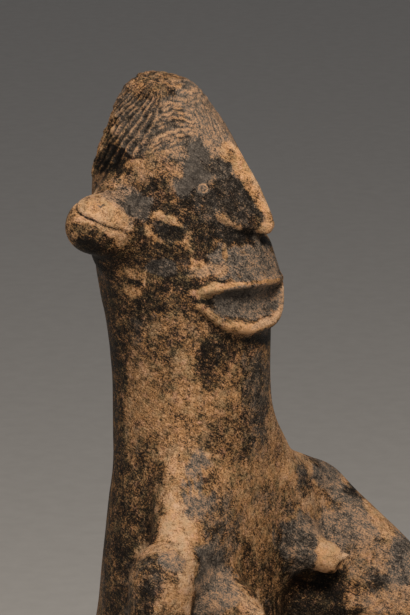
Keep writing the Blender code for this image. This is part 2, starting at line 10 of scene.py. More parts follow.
import bmesh
import bpy
import numpy as np
from mathutils import Matrix, Vector

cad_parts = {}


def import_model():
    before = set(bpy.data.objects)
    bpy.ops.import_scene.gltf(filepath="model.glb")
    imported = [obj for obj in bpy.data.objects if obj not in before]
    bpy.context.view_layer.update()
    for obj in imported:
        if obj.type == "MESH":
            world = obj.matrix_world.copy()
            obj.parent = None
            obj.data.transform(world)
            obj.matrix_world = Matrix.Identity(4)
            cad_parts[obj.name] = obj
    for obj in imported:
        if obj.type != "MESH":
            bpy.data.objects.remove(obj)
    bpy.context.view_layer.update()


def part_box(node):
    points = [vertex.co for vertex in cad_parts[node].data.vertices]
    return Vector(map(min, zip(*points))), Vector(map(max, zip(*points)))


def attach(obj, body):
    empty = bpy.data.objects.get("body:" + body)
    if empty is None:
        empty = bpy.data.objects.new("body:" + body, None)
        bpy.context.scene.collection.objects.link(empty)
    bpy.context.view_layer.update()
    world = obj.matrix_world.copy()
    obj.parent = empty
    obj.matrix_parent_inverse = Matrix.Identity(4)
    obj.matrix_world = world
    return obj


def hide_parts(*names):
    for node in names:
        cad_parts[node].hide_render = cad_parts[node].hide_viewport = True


MM = 0.001
SIDES = (1, -1)  # the figure's right, then its left
PLACE_ORDER = [1, 0, 2]  # forward is along y, and right is along x, both the other way round
PLACE_SIGNS = (-1.0, -1.0, 1.0)

# A ball is given as forward, right, up and radius. {1: ..., -1: ...} gives the right side, then the left
BALL_FACETS = {"u_segments": 32, "v_segments": 18}

# Head, neck and torso: height, back, front and half width of each level, without nose, lips and ears
LEVELS = (
    (498.5, -31.0, -15.5, 7.0),
    (494.6, -37.5, -2.0, 15.0),
    (487.8, -43.0, 5.2, 19.8),
    (481.1, -45.3, 9.8, 23.0),
    (467.6, -50.5, 20.4, 29.0),
    (454.1, -56.2, 27.5, 33.8),
    (440.6, -58.9, 31.4, 37.4),
    (423.7, -58.3, 36.3, 40.2),
    (406.9, -57.0, 41.5, 42.4),
    (390.0, -55.0, 43.0, 44.6),
    (373.2, -51.0, 43.5, 45.7),
    (352.9, -46.8, 43.5, 44.6),
    (332.7, -44.6, 43.5, 43.7),
    (285.5, -43.5, 43.2, 44.0),
    (272.0, -44.0, 44.0, 48.0),
    (251.8, -46.2, 46.2, 52.5),
    (204.6, -51.3, 48.4, 55.5),
    (170.8, -56.0, 50.6, 56.7),
    (125.9, -57.2, 56.0, 59.4),
    (80.9, -61.6, 59.4, 63.8),
    (47.2, -61.6, 55.0, 62.7),
    (14.0, -56.0, 48.0, 57.0),
)
RING_POINTS = 48
CROWN = (-24.0, 0.0, 488.0)
CROWN_RADII = (13.0, 11.5, 12.0)

# The face is a wedge: its ridge carries the forehead down into the nose. Height, and how far forward
RIDGE = (
    (474.0, 16.0),
    (463.9, 25.8),
    (457.5, 30.8),
    (451.2, 35.0),
    (438.6, 43.4),
    (425.7, 50.0),
    (420.0, 52.4),
    (416.8, 50.2),
)
WEDGE_INSET = 0.5
WEDGE_ROOT_SHARE = 0.8
NOSE_BASE_RISE = 12.0  # how much higher the nose ends beside the cheek than at its tip
RIDGE_RADIUS = 2.8
SEPTUM = ((34.0, 0.0, 423.0, 5.5), (44.0, 0.0, 419.0, 5.5))
NOSE_WING = ((30.2, 22.0, 427.0, 2.24), (37.0, 14.0, 421.5, 3.2), (44.0, 4.0, 420.5, 3.2))

# Lips: an oval in plan, with its corners on the cheeks
LIPS_FORWARD = 21.5
LIPS_DEPTH = 29.7
LIPS_HALF_WIDTH = 39.6
LIP_CORNER_TURN = {1: math.radians(90.0), -1: math.radians(46.0)}
UPPER_LIP_HEIGHT = 387.0
UPPER_LIP_CORNER_DROP = {1: 7.0, -1: 3.5}
UPPER_LIP_TILT = 2.6
UPPER_LIP_REACH = 0.955
MUZZLE_LEVELS = ((414.0, 0.62), (407.0, 0.755), (400.0, 0.82), (393.5, 0.885))
LOWER_LIP_HEIGHT = 365.4
LOWER_LIP_CORNER_RISE = {1: 14.6, -1: 16.5}
LOWER_LIP_RISE_END = {1: 0.86, -1: 1.0}
LOWER_LIP_RISE_BEND = {1: 2.9, -1: 1.9}
LOWER_LIP_FOOT = 351.0
LOWER_LIP_FOOT_RISE = 19.0
JAW_CORE_REACH = 0.60
JAW_REACH = 0.78
JAW_RIM_REACH = 0.91
JAW_TOP_REACH = 0.87
RIM_RADIUS = 3.1
RIM_CORNER_SHARE = 0.75
RIM_DROOP = 1.5  # how much thicker the rim hangs on the figure's right
UPPER_ROLL_RADIUS = 1.6
UPPER_ROLL_CORNER_RADIUS = 3.6
MOUTH_SLIT_HEIGHT = 386.5
MOUTH_SLIT_REACH = 0.85
MOUTH_SLIT_BEND = {1: 3.0, -1: 0.7}
MOUTH_CORNER_REACH = 0.94
MOUTH_RIM_REACH = 0.90
MOUTH_CUT_REACH = 1.35  # how far out the cutter goes, past the lips
MOUTH_SHARE = 0.98  # how far the mouth opens towards the corners of the lips
MOUTH_LEAST_GAP = 0.6
MOUTH_BOWL_SHARE = 0.45
MOUTH_BOWL_RISE = 0.36
MOUTH_STEPS = 40
LIP_STEPS = 28

# Ears: coffee beans that stand out behind the cheeks, each with a slanting slit
EAR_CENTRE = (-24.5, 55.3, 422.3)
EAR_RADII = (22.6, 15.2, 18.2)  # outward, along the head, up
EAR_TURN = math.radians(117.0)  # from the face's front
EAR_SLIT_FORWARD = -24.0
EAR_SLIT_HEIGHT = 429.0
EAR_SLIT_SLOPE = -0.57
EAR_SLIT_HALF_WIDTH = 1.1
EAR_SLIT_DEPTH = 1.1
EAR_STALK = (-16.0, 20.0, 414.0, 24.0)
EAR_HEEL = (-27.5, 36.5, 417.0)
EAR_HEEL_RADII = (16.0, 16.0, 30.0)
EAR_SLIT_SIDE = (45.0, 50.0)
EAR_SLIT_FRONT = (-7.5, -10.5)

# Eyes: a small stamped ring on the wedge and a low bean on the cheek
RING_EYE = (22.4, 25.5, 442.0)
RING_EYE_RADIUS = 3.1
BEAN_EYE = (8.0, 38.0, 418.5)
BEAN_EYE_HALF_LENGTH = 13.0
BEAN_EYE_HALF_HEIGHT = 8.5
BEAN_EYE_SLOPE = 0.6
BEAN_EYE_RELIEF = 0.9
BEAN_EYE_FADE = 14.0

# Hair: grooves that fan out from the crown, and waves across the front
HAIRLINE_HEIGHT = 460.0
HAIRLINE_SLOPE = 0.36
HAIRLINE_RAGGED = 2.6
HAIRLINE_DEPTH = (-0.5, 2.0)  # how far above the hairline the carving begins, and where it is full
HAIR_GROOVES = 34
FAN_FORWARD = -14.0
FAN_HEIGHT = 485.0
FAN_LEAN = 0.62
FAN_POLE_OFFSET = 7.0
FAN_POLE_HEIGHTS = (470.0, 490.0)
HAIR_DEPTH = 0.85
HAIR_WAVE_PITCH = 3.3
HAIR_WAVE_DEPTH = 0.42
HAIR_WAVE_SLOPE = 0.35
HAIR_WAVE_LEVEL = (462.0, 488.0)  # the waves lose their slope between these heights
WAVE_STRETCH = (0.45, 0.45, 1.0)
HAIR_FRONT_TURN = math.radians(62.0)
HAIR_FRONT_BLEND = 0.15
CROWN_HEIGHTS = (486.0, 492.0)
CROWN_RADIUS = (15.0, 4.0)
CROWN_STROKE_DEPTH = 0.35
CROWN_STRETCH = (0.6, 0.6, 1.3)

# Shoulders, arms and breasts; the left side is carried higher than the right
SHOULDER = {1: (24.8, 75.9, 236.5, 19.0), -1: (29.0, 83.5, 251.5, 18.5)}
NECK_SIDE = {1: (12.0, 25.0, 300.0, 17.0), -1: (10.5, 21.0, 276.0, 20.0)}
SHOULDER_RIDGE = {1: (27.0, 66.0, 238.0, 14.5), -1: (31.0, 89.0, 248.5, 17.8)}
NECK_FRONT = (24.0, 0.0, 285.0, 19.0)
CHEST = (20.0, 0.0, 225.0, 26.0)
CHEST_SIDE = {1: (4.0, 0.0, 225.0, 26.0), -1: (20.0, 0.0, 225.0, 26.0)}
WEB_END_RADIUS = {1: 10.0, -1: 18.5}  # thin under the right arm, which stands clear of the chest
WAIST = (-4.0, 0.0, 180.0, 45.0)
NECK_FLARE = ((6.0, -5.0, 318.0, 37.0), (11.5, -12.0, 299.0, 32.0), (18.0, -30.0, 280.0, 25.0))
ARMPIT = {-1: (38.0, 54.0, 188.0, 20.0)}  # the left arm is thick and runs into the chest below it
ARM_RADIUS = 18.2
ELBOW = {1: (22.0, 78.0, 152.0, 16.0), -1: (106.0, 80.0, 200.0, 16.0)}
WRIST = {1: (82.0, 50.0, 112.0, 12.0), -1: (98.0, 20.0, 130.0, 12.0)}
HAND = {1: (104.0, 38.0, 108.0, 8.0), -1: (102.0, 2.0, 120.0, 8.0)}
PALM_RADII = (13.0, 16.0, 8.0)
PALM_TURN = 0.3
BREAST = {
    1: ((31.0, 39.0, 219.0, 19.0), (50.5, 41.0, 214.5, 15.5)),
    -1: ((28.0, 38.0, 232.0, 27.0), (47.0, 40.0, 228.0, 16.0)),
}

# Nipples: thick nubs with a scooped end and a small beak above it
NUB = {
    1: ((59.5, 41.5, 212.5, 9.0), (62.5, 42.0, 210.3, 7.0)),
    -1: ((62.5, 41.5, 225.5, 9.0), (65.5, 42.0, 223.3, 7.0)),
}
BEAK = {
    1: ((64.0, 42.5, 213.0, 3.6), (71.5, 44.0, 214.4, 1.7)),
    -1: ((67.0, 42.5, 226.0, 3.6), (75.0, 44.0, 227.4, 1.7)),
}
SCOOP = {1: (70.0, 43.0, 206.8, 5.4), -1: (73.0, 43.0, 219.8, 5.4)}

# Kneeling legs, from hip and knee along the shin to heel and toes, and the base
LEG = (
    (10.0, 33.0, 66.0, 30.0),
    (98.0, 40.0, 62.0, 22.5),
    (92.0, 40.0, 31.0, 17.5),
    (-52.0, 34.0, 28.0, 14.0),
    (-70.0, 30.0, 20.0, 10.0),
)
BASE_FORWARD = 25.0
BASE_HALF_LENGTH = 103.0
BASE_HALF_WIDTH = 72.0
BASE_THICKNESS = 13.5
SAW_ALLOWANCE = 4.0  # clay below the underside, cut off flat at the end

# The child across the lap, its head in the crook of the left arm
CHILD_HEAD = (88.0, -42.0, 176.0)
CHILD_HEAD_RADII = (20.0, 18.5, 21.0)
CHILD_CHEST = (84.0, -18.0, 150.0, 19.5)
CHILD_SEAT = (86.0, 16.0, 118.0, 23.0)
CHILD_THIGH_RADIUS = 16.1
CHILD_KNEES = ((108.0, 30.0, 124.0, 13.0), (92.0, 44.0, 112.0, 13.0))

# Voxel sizes and smoothing rounds of the rough and the fine clay
ROUGH_VOXEL = 2.4
ROUGH_ROUNDS = 40
FINE_VOXEL = 1.5
FACE_ROUNDS = 5
FINE_ROUNDS = 2
CUTTER_VOXEL = 0.9
WELD_DISTANCE = 0.01

# Fine carving that the solid leaves out
HATCH_PITCH = 1.7
HATCH_DEPTH = 0.22
HATCH_TURNS = (0.5, 0.3)
HATCH_RISES = (30.0, 16.0)
EVEN_FOOT = (2.0, 8.0)  # the hand's unevenness begins between these heights
EAR_BROW = 0.35
EAR_BROW_RISE = 3.6
EAR_BROW_HALF_WIDTH = 2.6

# Grain in the surface: lump size in millimetres, and seed
CELL_PRIMES = (73856093, 19349663, 83492791)
SEED_PRIME = 2654435761
MIXING_PRIME = 1274126177
SWAY = (9.0, 1)
FINE_SWAY = (2.6, 2)
WAVE_BREAKS = (2.6, 3)
FAN_BREAKS = (4.0, 4)
HATCH_BREAKS = (1.6, 5)
CROWN_LUMPS = (1.5, 6)
CROWN_DRIFT = (3.2, 7)
HAIRLINE_GRAIN = (7.0, 9)
SLOW_HILLS = (26.0, 11)
HILLS = (11.0, 12)
DENTS = (6.0, 13)
HAIR_CRUMBS = (2.2, 14)
BROAD_DRIFT = (42.0, 31)
DRIFT = (19.0, 32)
GREY_DRIFT = (30.0, 33)

# Triangles: the plain clay gives some up, and the finest carving gets more
TRIANGLES_BEFORE_DETAIL = 134000
FACE_BOTTOM = (360.0, 340.0)
SPARE_SHARES = (0.25, 0.5, 0.75, 1.0)  # how much of the thinning each band of plain clay takes
DETAIL_HAIR_RISE = -1.5
DETAIL_SLIT_REACH = 5.0
DETAIL_RING_REACH = 6.5
DETAIL_LIP_REACH = 0.84
DETAIL_LIP_BACK = 12.0
DETAIL_LIP_HEIGHTS = (357.0, 395.0)

# Wear on what stands out, and painted shade in hollows
SHORTEST_EDGE = 0.2  # shorter edges count as this long
BULGE_ROUNDS = 4
BULGE_BLEND = 0.7
BULGE_WEAR = 1.6
BULGE_WEAR_RANGE = (-0.45, 0.4)
HOLLOW_CURVES = (0.02, 0.25)
# painted shade in hollows: how much of it there is, and how much it darkens the colour
HOLLOW_SHADE_SHARE = 0.8
HOLLOW_SHADE_DARKNESS = 0.45
HAIR_CONTRAST = 0.28
IN_HAIR_DEPTHS = (0.0, 0.3)
FAR_OFF = 9.0  # past this distance a slit or a ring has no effect

# The camera: the photo's size in pixels, a pixel's size at the neck, and the angles from the face
PHOTO_WIDTH = 410
PHOTO_HEIGHT = 615
PIXEL = 0.55
CAMERA_DISTANCE = 2300.0
CAMERA_TURN = 60.0
CAMERA_RISE = 12.0
CAMERA_TARGET = (6.19, -3.58, 369.0)
SENSOR_WIDTH = 36.0

# Colours, as levels from 0 to 255. The clay has these at the stops, from intact dark slip to bare clay
STOPS = (0.0, 0.22, 0.38, 0.50, 0.62, 0.82, 1.0)
BROWN = (
    (14, 10, 7), (34, 25, 17), (60, 44, 30), (108, 78, 48),
    (150, 109, 69), (181, 134, 89), (212, 162, 114),
)
ROSY = (
    (20, 13, 10), (44, 31, 25), (76, 54, 42), (122, 88, 67),
    (166, 122, 93), (198, 146, 114), (222, 172, 140),
)
OLIVE = (
    (16, 13, 9), (38, 31, 21), (62, 52, 36), (92, 77, 53),
    (122, 99, 68), (150, 121, 85), (184, 152, 112),
)
CREAM = (
    (28, 24, 21), (50, 43, 37), (78, 66, 56), (126, 102, 83),
    (166, 134, 108), (196, 161, 131), (220, 190, 160),
)
# grey slip and painted sheen: the colours where the greyness is high
CHARCOAL_AND_SHEEN = (
    (46, 41, 37), (76, 69, 62), (102, 93, 84), (122, 109, 96),
    (152, 126, 104), (178, 139, 107), (202, 162, 126),
)
# painted glints: pale specks mixed into the colour as highlights
GLINT_COLOUR = (186, 168, 146)
GLINT_SHARE = 0.35
GLINT_LEVELS = (0.12, 0.3)
CLAY_GLOSS = 0.12
FLOOR_DARK = (196, 192, 186)
FLOOR_PALE = (204, 200, 194)
FLOOR_ROUGHNESS = 0.85
STUDIO_COLOUR = (236, 236, 240)
FLOOR_HALF_WIDTH = 9000.0

# Noise in the clay: lump size in millimetres, detail, roughness, seed, and distortion if there is any
BROAD = (15.0, 4.0, 0.62, 1.0)
MOTTLE = (5.0, 5.0, 0.7, 2.0, 0.6)
CRUMB = (1.9, 3.0, 0.65, 3.0, 0.4)
SPECKLE = (0.75, 2.0, 0.6, 4.0)
STROKES = (0.8, 3.0, 0.6, 5.0, 0.5)
WARMTH = (9.0, 4.0, 0.6, 6.0)
ASH = (6.0, 4.0, 0.65, 7.0)
EARTH = (7.0, 4.0, 0.65, 8.0)
LUMPS = (2.8, 4.0, 0.6, 9.0)
BLUSH = (5.0, 4.0, 0.65, 10.0)
GLINTS = (0.8, 2.0, 0.7, 11.0)
FLOOR_GRAIN = (18.0, 4.0, 0.6, 1.0)

# How strongly each size of mottling breaks up the worn patches
BROAD_UNREST = 0.9
MOTTLE_UNREST = 1.3
CRUMB_UNREST = 0.9
STROKE_UNREST = 1.0
SPECKLE_UNREST = 1.75
SLIT_LINE = (0.9, 0.1)  # millimetres from the slit's middle where its darkening ends, and where it is full
RING_LINE = (0.75, 0.25)
POLISHED_GREYNESS = (0.75, 0.95)  # intact grey slip and its painted sheen are smooth, and their colour is even
POLISHED_WEAR = (0.38, 0.22)
BARE_LEVELS = (0.35, 0.75)
STROKE_STRETCH = (6.0, 1.0, 2.0)
STROKE_TILT = -32.0  # how the fine scraping runs across the photo, in degrees

# Worn and dark patches, in the photo's pixels: middle x and y, half length, half width and tilt in degrees
# of an oval. Then, in percent, wear (0 dark slip, 100 bare clay), tone (0 brown, 100 cream) and greyness
# (grey slip and painted sheen)
PLAIN_COAT = (48, 42, 34)  # wear, tone and greyness where there is no patch
PLAIN_UNREST = 45
OUTLINE_WANDER = ((8.0, 9.0, (21, 22)), (5.0, 3.5, (23, 24)))  # pixels, lump size, and seeds for x and y
WANDER_WIDTH = 14.0  # half width in pixels of a patch whose outline wanders by all of that
WANDER_SHARES = (0.2, 1.4)
PATCH_EDGE = (1.15, 0.85)
SEEN = (-0.45, -0.1)  # how far the surface faces the camera where a patch fades in
# Low wear in some patches paints shade, and high wear in one paints light; each is marked where it stands
PATCHES = (
    # hair
    (165, 125, 85, 62, 0, 51, 58, 65),
    (165, 82, 45, 16, 0, 52, 45, 45),
    (104, 138, 15, 36, 8, 50, 36, 35),
    (208, 112, 46, 22, 57, 55, 70, 85),
    # band under the hair, side of the head
    (118, 162, 27, 13, 3, 13, 20, 10),
    (155, 172, 32, 20, 20, 56, 45, 50),
    (165, 218, 60, 36, 15, 28, 30, 35),
    # forehead, nose and ridge
    (235, 205, 34, 34, 0, 17, 35, 55),
    (197, 166, 15, 34, 8, 24, 40, 95),
    (213, 168, 13, 11, 20, 20, 35, 75),
    (232, 158, 18, 9, 58, 80, 50, 35),
    (253, 187, 34, 7, 62, 80, 42, 25),
    (261, 190, 30, 4, 62, 78, 60, 30),
    (268, 226, 9, 8, 0, 80, 50, 40),
    (255, 219, 6, 5, 0, 10, 20, 30),
    (228, 221, 12, 4, 25, 50, 45, 50),
    (238, 226, 5, 3, 30, 72, 45, 50),
    # painted shade under the nose
    (259, 240, 17, 5, 8, 10, 25, 40),
    (204, 190, 6, 6, 0, 32, 70, 85),
    # ear
    # painted sheen: the ear's stalk and the cheek in front of it are greyed where the slip shone
    (122, 200, 20, 18, 0, 50, 85, 55),
    (136, 205, 15, 13, 0, 24, 60, 85),
    (95, 215, 28, 22, 18, 86, 55, 40),
    (121, 232, 4, 9, -25, 84, 50, 35),
    (100.5, 206, 4, 1.6, -12, 20, 50, 90),
    (86, 232, 19, 9, 25, 40, 30, 25),
    (107, 243, 11, 6, 28, 34, 30, 15),
    # painted shade under the ear
    (100, 254, 28, 11, 20, 10, 20, 5),
    # eye on the cheek
    (167, 219, 17, 5, 26, 84, 45, 30),
    (148, 230, 8, 4, 62, 86, 45, 30),
    (157, 238, 8, 3.5, 34, 76, 45, 30),
    (182, 247, 10, 6, 18, 78, 50, 30),
    (187, 238, 4, 8, 12, 74, 50, 30),
    (168, 229, 13, 4, 10, 12, 20, 50),
    # cheek and muzzle
    (150, 275, 50, 36, 0, 28, 25, 12),
    (132, 282, 16, 17, 0, 46, 35, 15),
    (134, 273, 10, 5, 8, 62, 35, 15),
    (134, 291, 12, 6, -12, 68, 35, 15),
    (135, 282, 9, 3, 8, 10, 20, 10),
    (145, 276, 1.3, 13, 0, 68, 60, 40),
    (160, 266, 16, 9, 0, 12, 60, 75),
    (171, 296, 4, 9, 0, 82, 45, 20),
    (192, 267, 5, 8, 0, 80, 45, 20),
    (246, 262, 38, 20, 8, 40, 45, 95),
    (262, 268, 14, 18, 0, 48, 50, 95),
    (207, 269, 22, 6, -6, 66, 65, 60),
    (199, 264, 6, 5, 0, 72, 50, 30),
    (184, 264, 6, 9, 0, 22, 40, 45),
    (225, 252, 3, 11, 0, 76, 45, 30),
    (176, 300, 18, 16, 0, 45, 40, 20),
    # lips
    (247, 300, 36, 16, -5, 34, 45, 95),
    (250, 314, 22, 4, 0, 46, 65, 95),
    # painted light: the far corner of the mouth is made pale and grey against the shade in its pocket
    (274, 294, 8, 10, 0, 64, 60, 95),
    (262, 282, 20, 2, -7, 58, 30, 25),
    (222, 287, 24, 3, -9, 86, 46, 30),
    (207, 290, 19, 7, -10, 86, 48, 30),
    (212, 317, 19, 5, 38, 90, 50, 35),
    (243, 327, 24, 5, 0, 92, 50, 35),
    (265, 322, 14, 4, -20, 70, 75, 55),
    (280, 311, 9, 4, -60, 74, 70, 60),
    (284, 297, 12, 2, 85, 84, 80, 50),
    (270, 329, 13, 2, -28, 26, 30, 40),
    # painted shade in the mouth's slit at its near corner
    (203, 302, 12, 2, 4, 5, 20, 20),
    # painted shade under the lower lip and the jaw
    (245, 341, 42, 5, -5, 5, 20, 10),
    # neck
    (192, 400, 95, 62, 90, 48, 38, 28),
    (180, 326, 42, 18, 0, 52, 45, 30),
    (182, 400, 52, 44, 0, 68, 42, 22),
    (228, 346, 32, 12, 0, 36, 28, 25),
    (212, 364, 18, 20, 0, 26, 30, 30),
    (256, 392, 16, 46, 0, 35, 40, 60),
    (119, 420, 9, 92, 0, 35, 25, 15),
    (114, 326, 15, 50, -5, 28, 25, 12),
    (143, 490, 18, 44, 5, 40, 35, 30),
    # chest and shoulders
    (250, 520, 60, 60, 0, 70, 38, 35),
    (117, 560, 14, 60, 5, 34, 30, 25),
    (182, 456, 23, 24, 0, 70, 46, 30),
    (180, 477, 8, 4, 0, 84, 50, 30),
    (197, 465, 13, 10, -20, 44, 80, 95),
    (192, 485, 17, 4, 0, 44, 80, 95),
    (197, 508, 15, 11, 15, 44, 80, 95),
    (194, 493, 8, 3, 0, 84, 50, 30),
    (212, 456, 6, 3, 0, 88, 50, 30),
    (206, 471, 4, 4, 0, 84, 50, 30),
    (171, 500, 13, 38, 4, 79, 50, 28),
    (181, 530, 19, 20, 15, 95, 58, 28),
    (150, 586, 28, 28, 0, 44, 45, 45),
    (150, 550, 20, 6, -18, 82, 55, 40),
    (186, 578, 9, 42, 0, 93, 58, 32),
    (170, 549, 14, 7, 0, 80, 60, 50),
    (172, 563, 14, 8, 20, 50, 70, 95),
    (168, 602, 14, 16, 0, 72, 50, 35),
    (147, 594, 7, 14, 0, 20, 30, 40),
    (204, 580, 8, 36, 0, 24, 40, 90),
    (222, 528, 18, 40, 0, 48, 40, 55),
    (213, 566, 12, 24, 0, 30, 45, 90),
    (279, 428, 20, 10, 60, 72, 50, 40),
    (294, 447, 12, 4, 50, 86, 50, 35),
    (275, 500, 24, 12, 0, 50, 45, 50),
    (300, 478, 7, 18, 0, 34, 40, 60),
    (287, 473, 8, 13, 0, 90, 46, 32),
    (312, 472, 5, 12, -25, 88, 50, 35),
    (330, 472, 18, 14, 25, 38, 75, 90),
    (342, 494, 22, 10, 30, 46, 70, 90),
    (309, 501, 18, 7, 10, 78, 60, 50),
    (346, 480, 5, 4, 40, 86, 50, 35),
    (352, 490, 8, 6, 45, 12, 30, 50),
    (374, 510, 16, 4, 42, 88, 50, 35),
    (366, 520, 26, 9, 40, 48, 70, 90),
    (392, 536, 30, 5, 42, 74, 55, 55),
    (384, 560, 16, 10, 0, 70, 48, 40),
    # breasts and what is below them
    (297, 542, 26, 26, 0, 32, 55, 80),
    (292, 566, 26, 11, 0, 18, 45, 60),
    (340, 530, 34, 18, 10, 54, 80, 80),
    (378, 575, 36, 34, 0, 60, 52, 60),
    (262, 568, 22, 34, 0, 40, 30, 20),
    # painted shade under the far breast
    (318, 594, 42, 25, 0, 24, 12, 10),
    (320, 597, 32, 16, 0, 14, 10, 10),
    (310, 612, 50, 7, 0, 12, 10, 10),
    (326, 556, 14, 17, 0, 96, 50, 35),
    (342, 556, 10, 4, 0, 86, 60, 45),
    (375, 583, 11, 9, 0, 15, 30, 60),
    (402, 560, 9, 30, 0, 40, 60, 95),
    (220, 594, 22, 26, 0, 54, 65, 90),
    (252, 604, 16, 9, 40, 74, 65, 60),
    (247, 594, 26, 2, 47, 84, 55, 45),
)

# Lights: name, turn from the camera, rise, distance, size, watts and colour
LIGHTS = (
    ("key", 14.0, 44.0, 1700.0, 500.0, 27.0, (255, 245, 232)),
    ("fill", -40.0, 14.0, 2100.0, 900.0, 5.0, (244, 246, 255)),
)
STUDIO_STRENGTH = 0.15


def place(forward, right, up):
    """A point in metres, from the figure's own directions in millimetres."""
    return Vector((-right, -forward, up)) * MM


def mix(low, high, share):
    """What is a share of the way from low to high."""
    return low + (high - low) * share


def mirrored(place_or_ball, side):
    """A place or a ball given for the figure's right side, on either side."""
    forward, right, *rest = place_or_ball
    return (forward, right * side, *rest)


def on_side(side, *tables):
    """The entries for one side of tables of places or balls, each put on that side."""
    return [mirrored(table[side], side) for table in tables]


def scene_object(name, data):
    thing = bpy.data.objects.new(name, data)
    bpy.context.scene.collection.objects.link(thing)
    return thing


def shaped(name, shell, move=None):
    """A mesh object made from a bmesh, moved if a matrix is given."""
    mesh = bpy.data.meshes.new(name)
    shell.to_mesh(mesh)
    shell.free()
    if move:
        mesh.transform(move)
    return scene_object(name, mesh)


def shown_mesh(thing):
    """A new mesh of what an object shows, with its modifiers or its curve's thickness."""
    bpy.context.view_layer.update()
    graph = bpy.context.evaluated_depsgraph_get()
    return bpy.data.meshes.new_from_object(thing.evaluated_get(graph))


def modified(thing, kind, **settings):
    """Applies one modifier to a mesh object, and gives the object back."""
    modifier = thing.modifiers.new(kind.title(), kind)
    for setting, value in settings.items():
        setattr(modifier, setting, value)
    result = shown_mesh(thing)
    thing.modifiers.clear()
    before = thing.data
    thing.data = result
    bpy.data.meshes.remove(before)
    return thing


def joined(name, lumps):
    """One mesh object that holds every lump's shell, with the lumps removed."""
    shells = bmesh.new()
    for lump in lumps:
        shell = lump.data.copy()
        shell.transform(lump.matrix_world)
        shells.from_mesh(shell)
        bpy.data.meshes.remove(shell)
        bpy.data.objects.remove(lump)
    return shaped(name, shells)


def kneaded(name, lumps, voxel, rounds):
    """The lumps as one closed body of clay, with the joints between them smoothed over."""
    body = joined(name, lumps)
    modified(body, "REMESH", mode="VOXEL", voxel_size=voxel * MM)
    modified(body, "SMOOTH", factor=0.5, iterations=rounds)
    return body


def egg(centre, radii, turn=0.0):
    """An ellipsoid: its radii run outward, along and up, turned from the front."""
    shell = bmesh.new()
    bmesh.ops.create_uvsphere(shell, **BALL_FACETS, radius=1.0)
    outward, along, up = radii
    scale = Matrix.Diagonal((along * MM, outward * MM, up * MM, 1.0))
    swing = Matrix.Rotation(-turn, 4, "Z")
    return shaped("egg", shell, Matrix.Translation(place(*centre)) @ swing @ scale)


def ball(forward, right, up, radius):
    return egg((forward, right, up), (radius,) * 3)


def limb(*balls):
    """A tapering roll of clay through balls."""
    curve = bpy.data.curves.new("limb", "CURVE")
    curve.dimensions = "3D"
    curve.bevel_depth = 1.0
    curve.bevel_resolution = 6
    curve.use_fill_caps = True
    spline = curve.splines.new("POLY")
    spline.points.add(len(balls) - 1)
    for knot, (*centre, radius) in zip(spline.points, balls):
        knot.co = (*place(*centre), 1.0)
        knot.radius = radius * MM
    guide = scene_object("limb", curve)
    mesh = shown_mesh(guide)
    bpy.data.objects.remove(guide)
    bpy.data.curves.remove(curve)
    welded = bmesh.new()
    welded.from_mesh(mesh)
    bmesh.ops.remove_doubles(welded, verts=welded.verts, dist=WELD_DISTANCE * MM)
    bpy.data.meshes.remove(mesh)
    return [shaped("limb", welded), *(ball(*end) for end in (balls[0], balls[-1], *balls[1:-1]))]


def jointed(*balls):
    """Straight limbs from ball to ball."""
    return [lump for pair in zip(balls, balls[1:]) for lump in limb(*pair)]


def paired(*forms):
    """The limbs that each form gives for each side."""
    return [
        lump
        for side in SIDES
        for form in forms
        for lump in limb(*(mirrored(end, side) for end in form[side]))
    ]


def web(*balls):
    """The tight skin of clay round several balls."""
    skin = bmesh.new()
    for *centre, radius in balls:
        where = Matrix.Translation(place(*centre))
        bmesh.ops.create_uvsphere(skin, **BALL_FACETS, radius=radius * MM, matrix=where)
    bmesh.ops.delete(skin, geom=skin.faces[:], context="FACES_ONLY")
    bmesh.ops.delete(skin, geom=skin.edges[:], context="EDGES_FACES")
    hull = bmesh.ops.convex_hull(skin, input=skin.verts)
    bmesh.ops.delete(skin, geom=hull["geom_interior"], context="VERTS")
    return shaped("web", skin)


def loft(rings):
    """A closed solid through rings of points that all have one count, capped at both ends."""
    shell = bmesh.new()
    rows = [[shell.verts.new(place(*point)) for point in ring] for ring in rings]
    steps = range(len(rows[0]))
    for lower, upper in zip(rows, rows[1:]):
        for step in steps:
            shell.faces.new((lower[step - 1], lower[step], upper[step], upper[step - 1]))
    for row in (rows[0], rows[-1]):
        centre = shell.verts.new(sum((corner.co for corner in row), Vector()) / len(row))
        for step in steps:
            shell.faces.new((row[step - 1], row[step], centre))
    bmesh.ops.recalc_face_normals(shell, faces=shell.faces)
    return shaped("loft", shell)


def column():
    """Head, neck and torso as one tall form of oval levels."""
    turns = [math.tau * step / RING_POINTS for step in range(RING_POINTS)]
    rings = []
    for height, back, front, half_width in LEVELS:
        middle = (front + back) / 2
        reach = (front - back) / 2
        rings.append(
            [(middle + reach * math.cos(turn), half_width * math.sin(turn), height) for turn in turns]
        )
    return [loft(rings), egg(CROWN, CROWN_RADII)]


def level_at(height):
    """The middle, the reach to front and back, and the half width of the head at a height."""
    heights, *edges = np.array(LEVELS)[::-1].T
    back, front, half_width = (float(np.interp(height, heights, edge)) for edge in edges)
    return (front + back) / 2, (front - back) / 2, half_width


def face_wedge():
    """The planes that run from the ridge back to where they touch the head's oval."""
    rings = []
    for height, ridge in RIDGE:
        middle, reach, half_width = level_at(height)
        touch = min(reach / (ridge - middle), 0.999)
        forward = middle + reach * touch - WEDGE_INSET
        side = half_width * math.sqrt(1 - touch**2)
        root = side * WEDGE_ROOT_SHARE
        share = (RIDGE[0][0] - height) / (RIDGE[0][0] - RIDGE[-1][0])
        high = height + NOSE_BASE_RISE * share**6
        edge = (ridge - RIDGE_RADIUS * 0.3, 0.0, height)
        rings.append(
            (edge, (forward, side, high), (middle, root, high), (middle, -root, high), (forward, -side, high))
        )
    return loft(rings)


